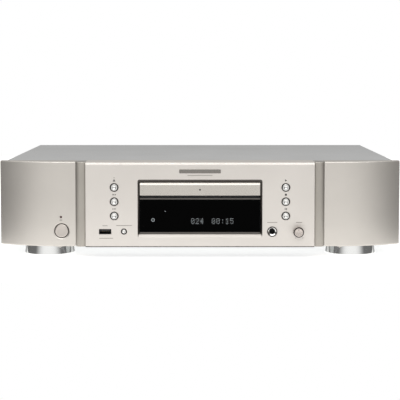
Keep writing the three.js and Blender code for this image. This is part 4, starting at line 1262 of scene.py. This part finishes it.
def make_turntable():
    """Hub with a rubber ring for the disc, a cone to centre it, and a steel keeper on top."""
    low, high = span("turntable")
    face = high.z - 3.4
    hub = new_shape()
    profile = [(0, low.z), (4, low.z), (4, face - 4.3), (14.2, face - 4.3)]
    profile += arc((14.4, face - 3.7), 0.6, -90, 0, 4)
    profile += [(15, face - 0.5), (14.5, face - 0.2), (9, face - 0.2), (9, face - 0.6), (7.4, face - 0.6)]
    profile += [(7.4, high.z - 2.0), (7.0, high.z - 1.5), (5.8, high.z - 0.35), (5.2, high.z - 0.1)]
    profile += [(3.4, high.z - 0.1), (3.2, high.z - 0.4), (0, high.z - 0.4)]
    turned(hub, profile, "z", SPOT, 96)
    part("turntable_hub", hub, DARK, "turntable", ["turntable"])
    profile = [(9.4, face - 0.3), (9.4, face - 0.1), (9.7, face), (13.8, face), (14.1, face - 0.1),
               (14.1, face - 0.3), (9.4, face - 0.3)]
    part("turntable_rubber", made(turned, profile, "z", SPOT, 96), RUBBER, "turntable")
    profile = [(0, high.z - 0.5), (3.1, high.z - 0.5), (3.1, high.z - 0.15), (2.9, high.z), (0, high.z)]
    part("turntable_keeper", made(turned, profile, "z", SPOT, 64), STEEL, "turntable")


def make_disc_clamp():
    """Puck with a recess in its face, and a steel yoke on top."""
    low, high = span("disc_clamp")
    puck = new_shape()
    profile = [(0, low.z + 3.1), (8.3, low.z + 3.1), (8.5, low.z + 0.2), (8.8, low.z), (15.4, low.z)]
    profile += arc((15.5, low.z + 0.5), 0.5, -90, 0, 4) + [(16, low.z + 2.6)]
    profile += arc((15.5, low.z + 2.6), 0.5, 0, 90, 4)
    profile += [(11.4, low.z + 3.1), (11, low.z + 3.5), (11, high.z - 2), (14.3, high.z - 2)]
    profile += [(14.5, high.z - 1.8), (14.5, high.z - 0.3), (14.2, high.z), (0, high.z)]
    turned(puck, profile, "z", SPOT, 96)
    part("clamp_puck", puck, IVORY, "disc_clamp", ["disc_clamp"])
    profile = [(0, high.z - 0.1), (9.2, high.z - 0.1), (9.2, high.z + 0.3), (9.0, high.z + 0.4),
               (0, high.z + 0.4)]
    part("clamp_yoke", made(turned, profile, "z", SPOT, 72), STEEL, "disc_clamp")


def make_objective_lens():
    """Small glass dome in a black holder."""
    low, high = span("objective_lens")
    middle = centre("objective_lens")
    place = (middle.x, middle.y)
    profile = [(0, low.z), (4.2, low.z), (4.2, low.z + 1.7), (3.9, low.z + 2.0), (3.0, low.z + 2.2),
               (2.8, low.z + 1.9), (0, low.z + 1.9)]
    part("lens_holder", made(turned, profile, "z", place, 64), BLACK, "objective_lens", ["objective_lens"])
    glass = new_shape()
    rim = low.z + 1.8
    dome_points = [(2.7 * math.cos(lean), rim + (high.z - rim) * math.sin(lean))
                   for lean in (math.pi / 2 * i / 10 for i in range(11))]
    turned(glass, [(0, rim), *dome_points], "z", place, 64)
    part("lens_dome", glass, LENS_GLASS, "objective_lens")


# ---------------------------------------------------------------- boards and transformer
BOARD_PARTS = {
    "main_board": (
        GREEN_BOARD,
        [(110, 100, 5, 14), (124, 100, 5, 14), (160, 60, 6, 18), (176, 60, 6, 18), (186, 90, 4, 10)],
        [(130, -40, 22, 22, 2), (165, -10, 14, 14, 2), (120, 20, 18, 10, 3), (170, 115, 20, 8, 4)],
    ),
    "power_board": (
        TAN_BOARD,
        [(-180, 20, 9, 30), (-158, 20, 9, 30), (-132, 30, 6, 20), (-110, 20, 5, 14)],
        [(-150, -20, 30, 3, 26), (-110, -40, 24, 12, 8), (-170, -70, 20, 16, 12)],
    ),
}


def make_board(node, look, cans, packages):
    """Board with sleeved capacitors, whose aluminium tops show, and flat packages."""
    low, high = span(node)
    top = low.z + 1.6
    outlines = [rectangle(low.x, high.x, low.y, high.y, 1.5, 4)]
    part(node + "_sheet", made(prism, outlines, "z", low.z, top, 0.1, 2), look, "chassis", [node])
    sleeves = new_shape()
    tops = new_shape()
    for x, y, radius, height in cans:
        crown = top + height
        groove = crown - radius * 0.35
        profile = [(0, top - 0.1), (radius - 0.3, top - 0.1), (radius, top + 0.6), (radius, groove - 1)]
        profile += [(radius - 0.5, groove - 0.5), (radius, groove), (radius, crown - 0.6),
                    (radius - 0.6, crown - 0.1)]
        turned(sleeves, profile + [(0, crown - 0.1)], "z", (x, y), 48)
        profile = [(0, crown - 0.3), (radius - 1.0, crown - 0.3), (radius - 1.1, crown), (0, crown)]
        turned(tops, profile, "z", (x, y), 48)
    part(node + "_capacitors", sleeves, DARK)
    part(node + "_capacitor_tops", tops, STEEL)
    bodies = new_shape()
    for x, y, wide, deep, height in packages:
        block(bodies, (x - wide / 2, y - deep / 2, top - 0.1), (x + wide / 2, y + deep / 2, top + height),
              0.25)
    part(node + "_packages", bodies, BLACK)


def make_transformer():
    """Laminated core on a base with two bolts, and a winding through it."""
    low, high = span("mains_transformer")
    middle = centre("mains_transformer")
    x, y = middle.x, middle.y
    core = new_shape()
    sheets = 14
    pitch = 28 / sheets
    for i in range(sheets):
        start = y - 14 + i * pitch
        block(core, (x - 33, start, 18), (x + 33, start + pitch - 0.1, high.z), 0.15, "y")
    part("transformer_core", core, DARK_STEEL, "chassis", ["mains_transformer"], "transformer_core")
    part("transformer_winding", made(prism, [centred(x, y, 20, 26, 8, 8)], "z", 27, 64, 1.5, 4), CORE)
    part("transformer_base", made(block, (x - 42, y - 14, low.z), (x + 42, y + 14, 18), 1.0), ZINC)
    bolts = [("z", 1, x + side * 37.5, y, 18) for side in (-1, 1)]
    make_screws("transformer_bolts", STEEL, bolts, "chassis", 6.0, 2.4)


# ---------------------------------------------------------------- pieces that keep their CAD shape
CAD_LOOKS = {
    "bottom_chassis": ZINC,
    "clamp_bridge": ZINC,
    "mechanism_plate": ZINC,
    "loading_motor": STEEL,
    "spindle_motor": STEEL,
    "sled_motor": STEEL,
    "guide_rod_left": STEEL,
    "guide_rod_right": STEEL,
    "lead_screw": STEEL,
    "display_module": VACUUM_GLASS,
    "control_board": TAN_BOARD,
    "power_switch": BLACK,
    "loader_frame": BLACK,
    "pickup": DARK,
    "drive_belt": RUBBER,
    "motor_pulley": IVORY,
    "pulley_gear": IVORY,
    "drive_gear": IVORY,
    "cam_slide": IVORY,
}


def dress_cad_piece(node, look):
    """Material on the node's own slots, and edges broken with a fine bevel."""
    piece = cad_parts[node]
    for socket in piece.material_slots:
        socket.link = "OBJECT"
        socket.material = look
    rounding = piece.modifiers.new("broken_edges", "BEVEL")
    rounding.width = 0.2 * MM
    rounding.segments = 2
    rounding.limit_method = "ANGLE"
    rounding.angle_limit = math.radians(40)
    shading = piece.modifiers.new("even_shading", "WEIGHTED_NORMAL")
    shading.keep_sharp = True


for make in (make_disc_tray, make_turntable, make_disc_clamp, make_objective_lens, make_transformer):
    make()
for node, (look, cans, packages) in BOARD_PARTS.items():
    make_board(node, look, cans, packages)
for node, look in CAD_LOOKS.items():
    dress_cad_piece(node, look)
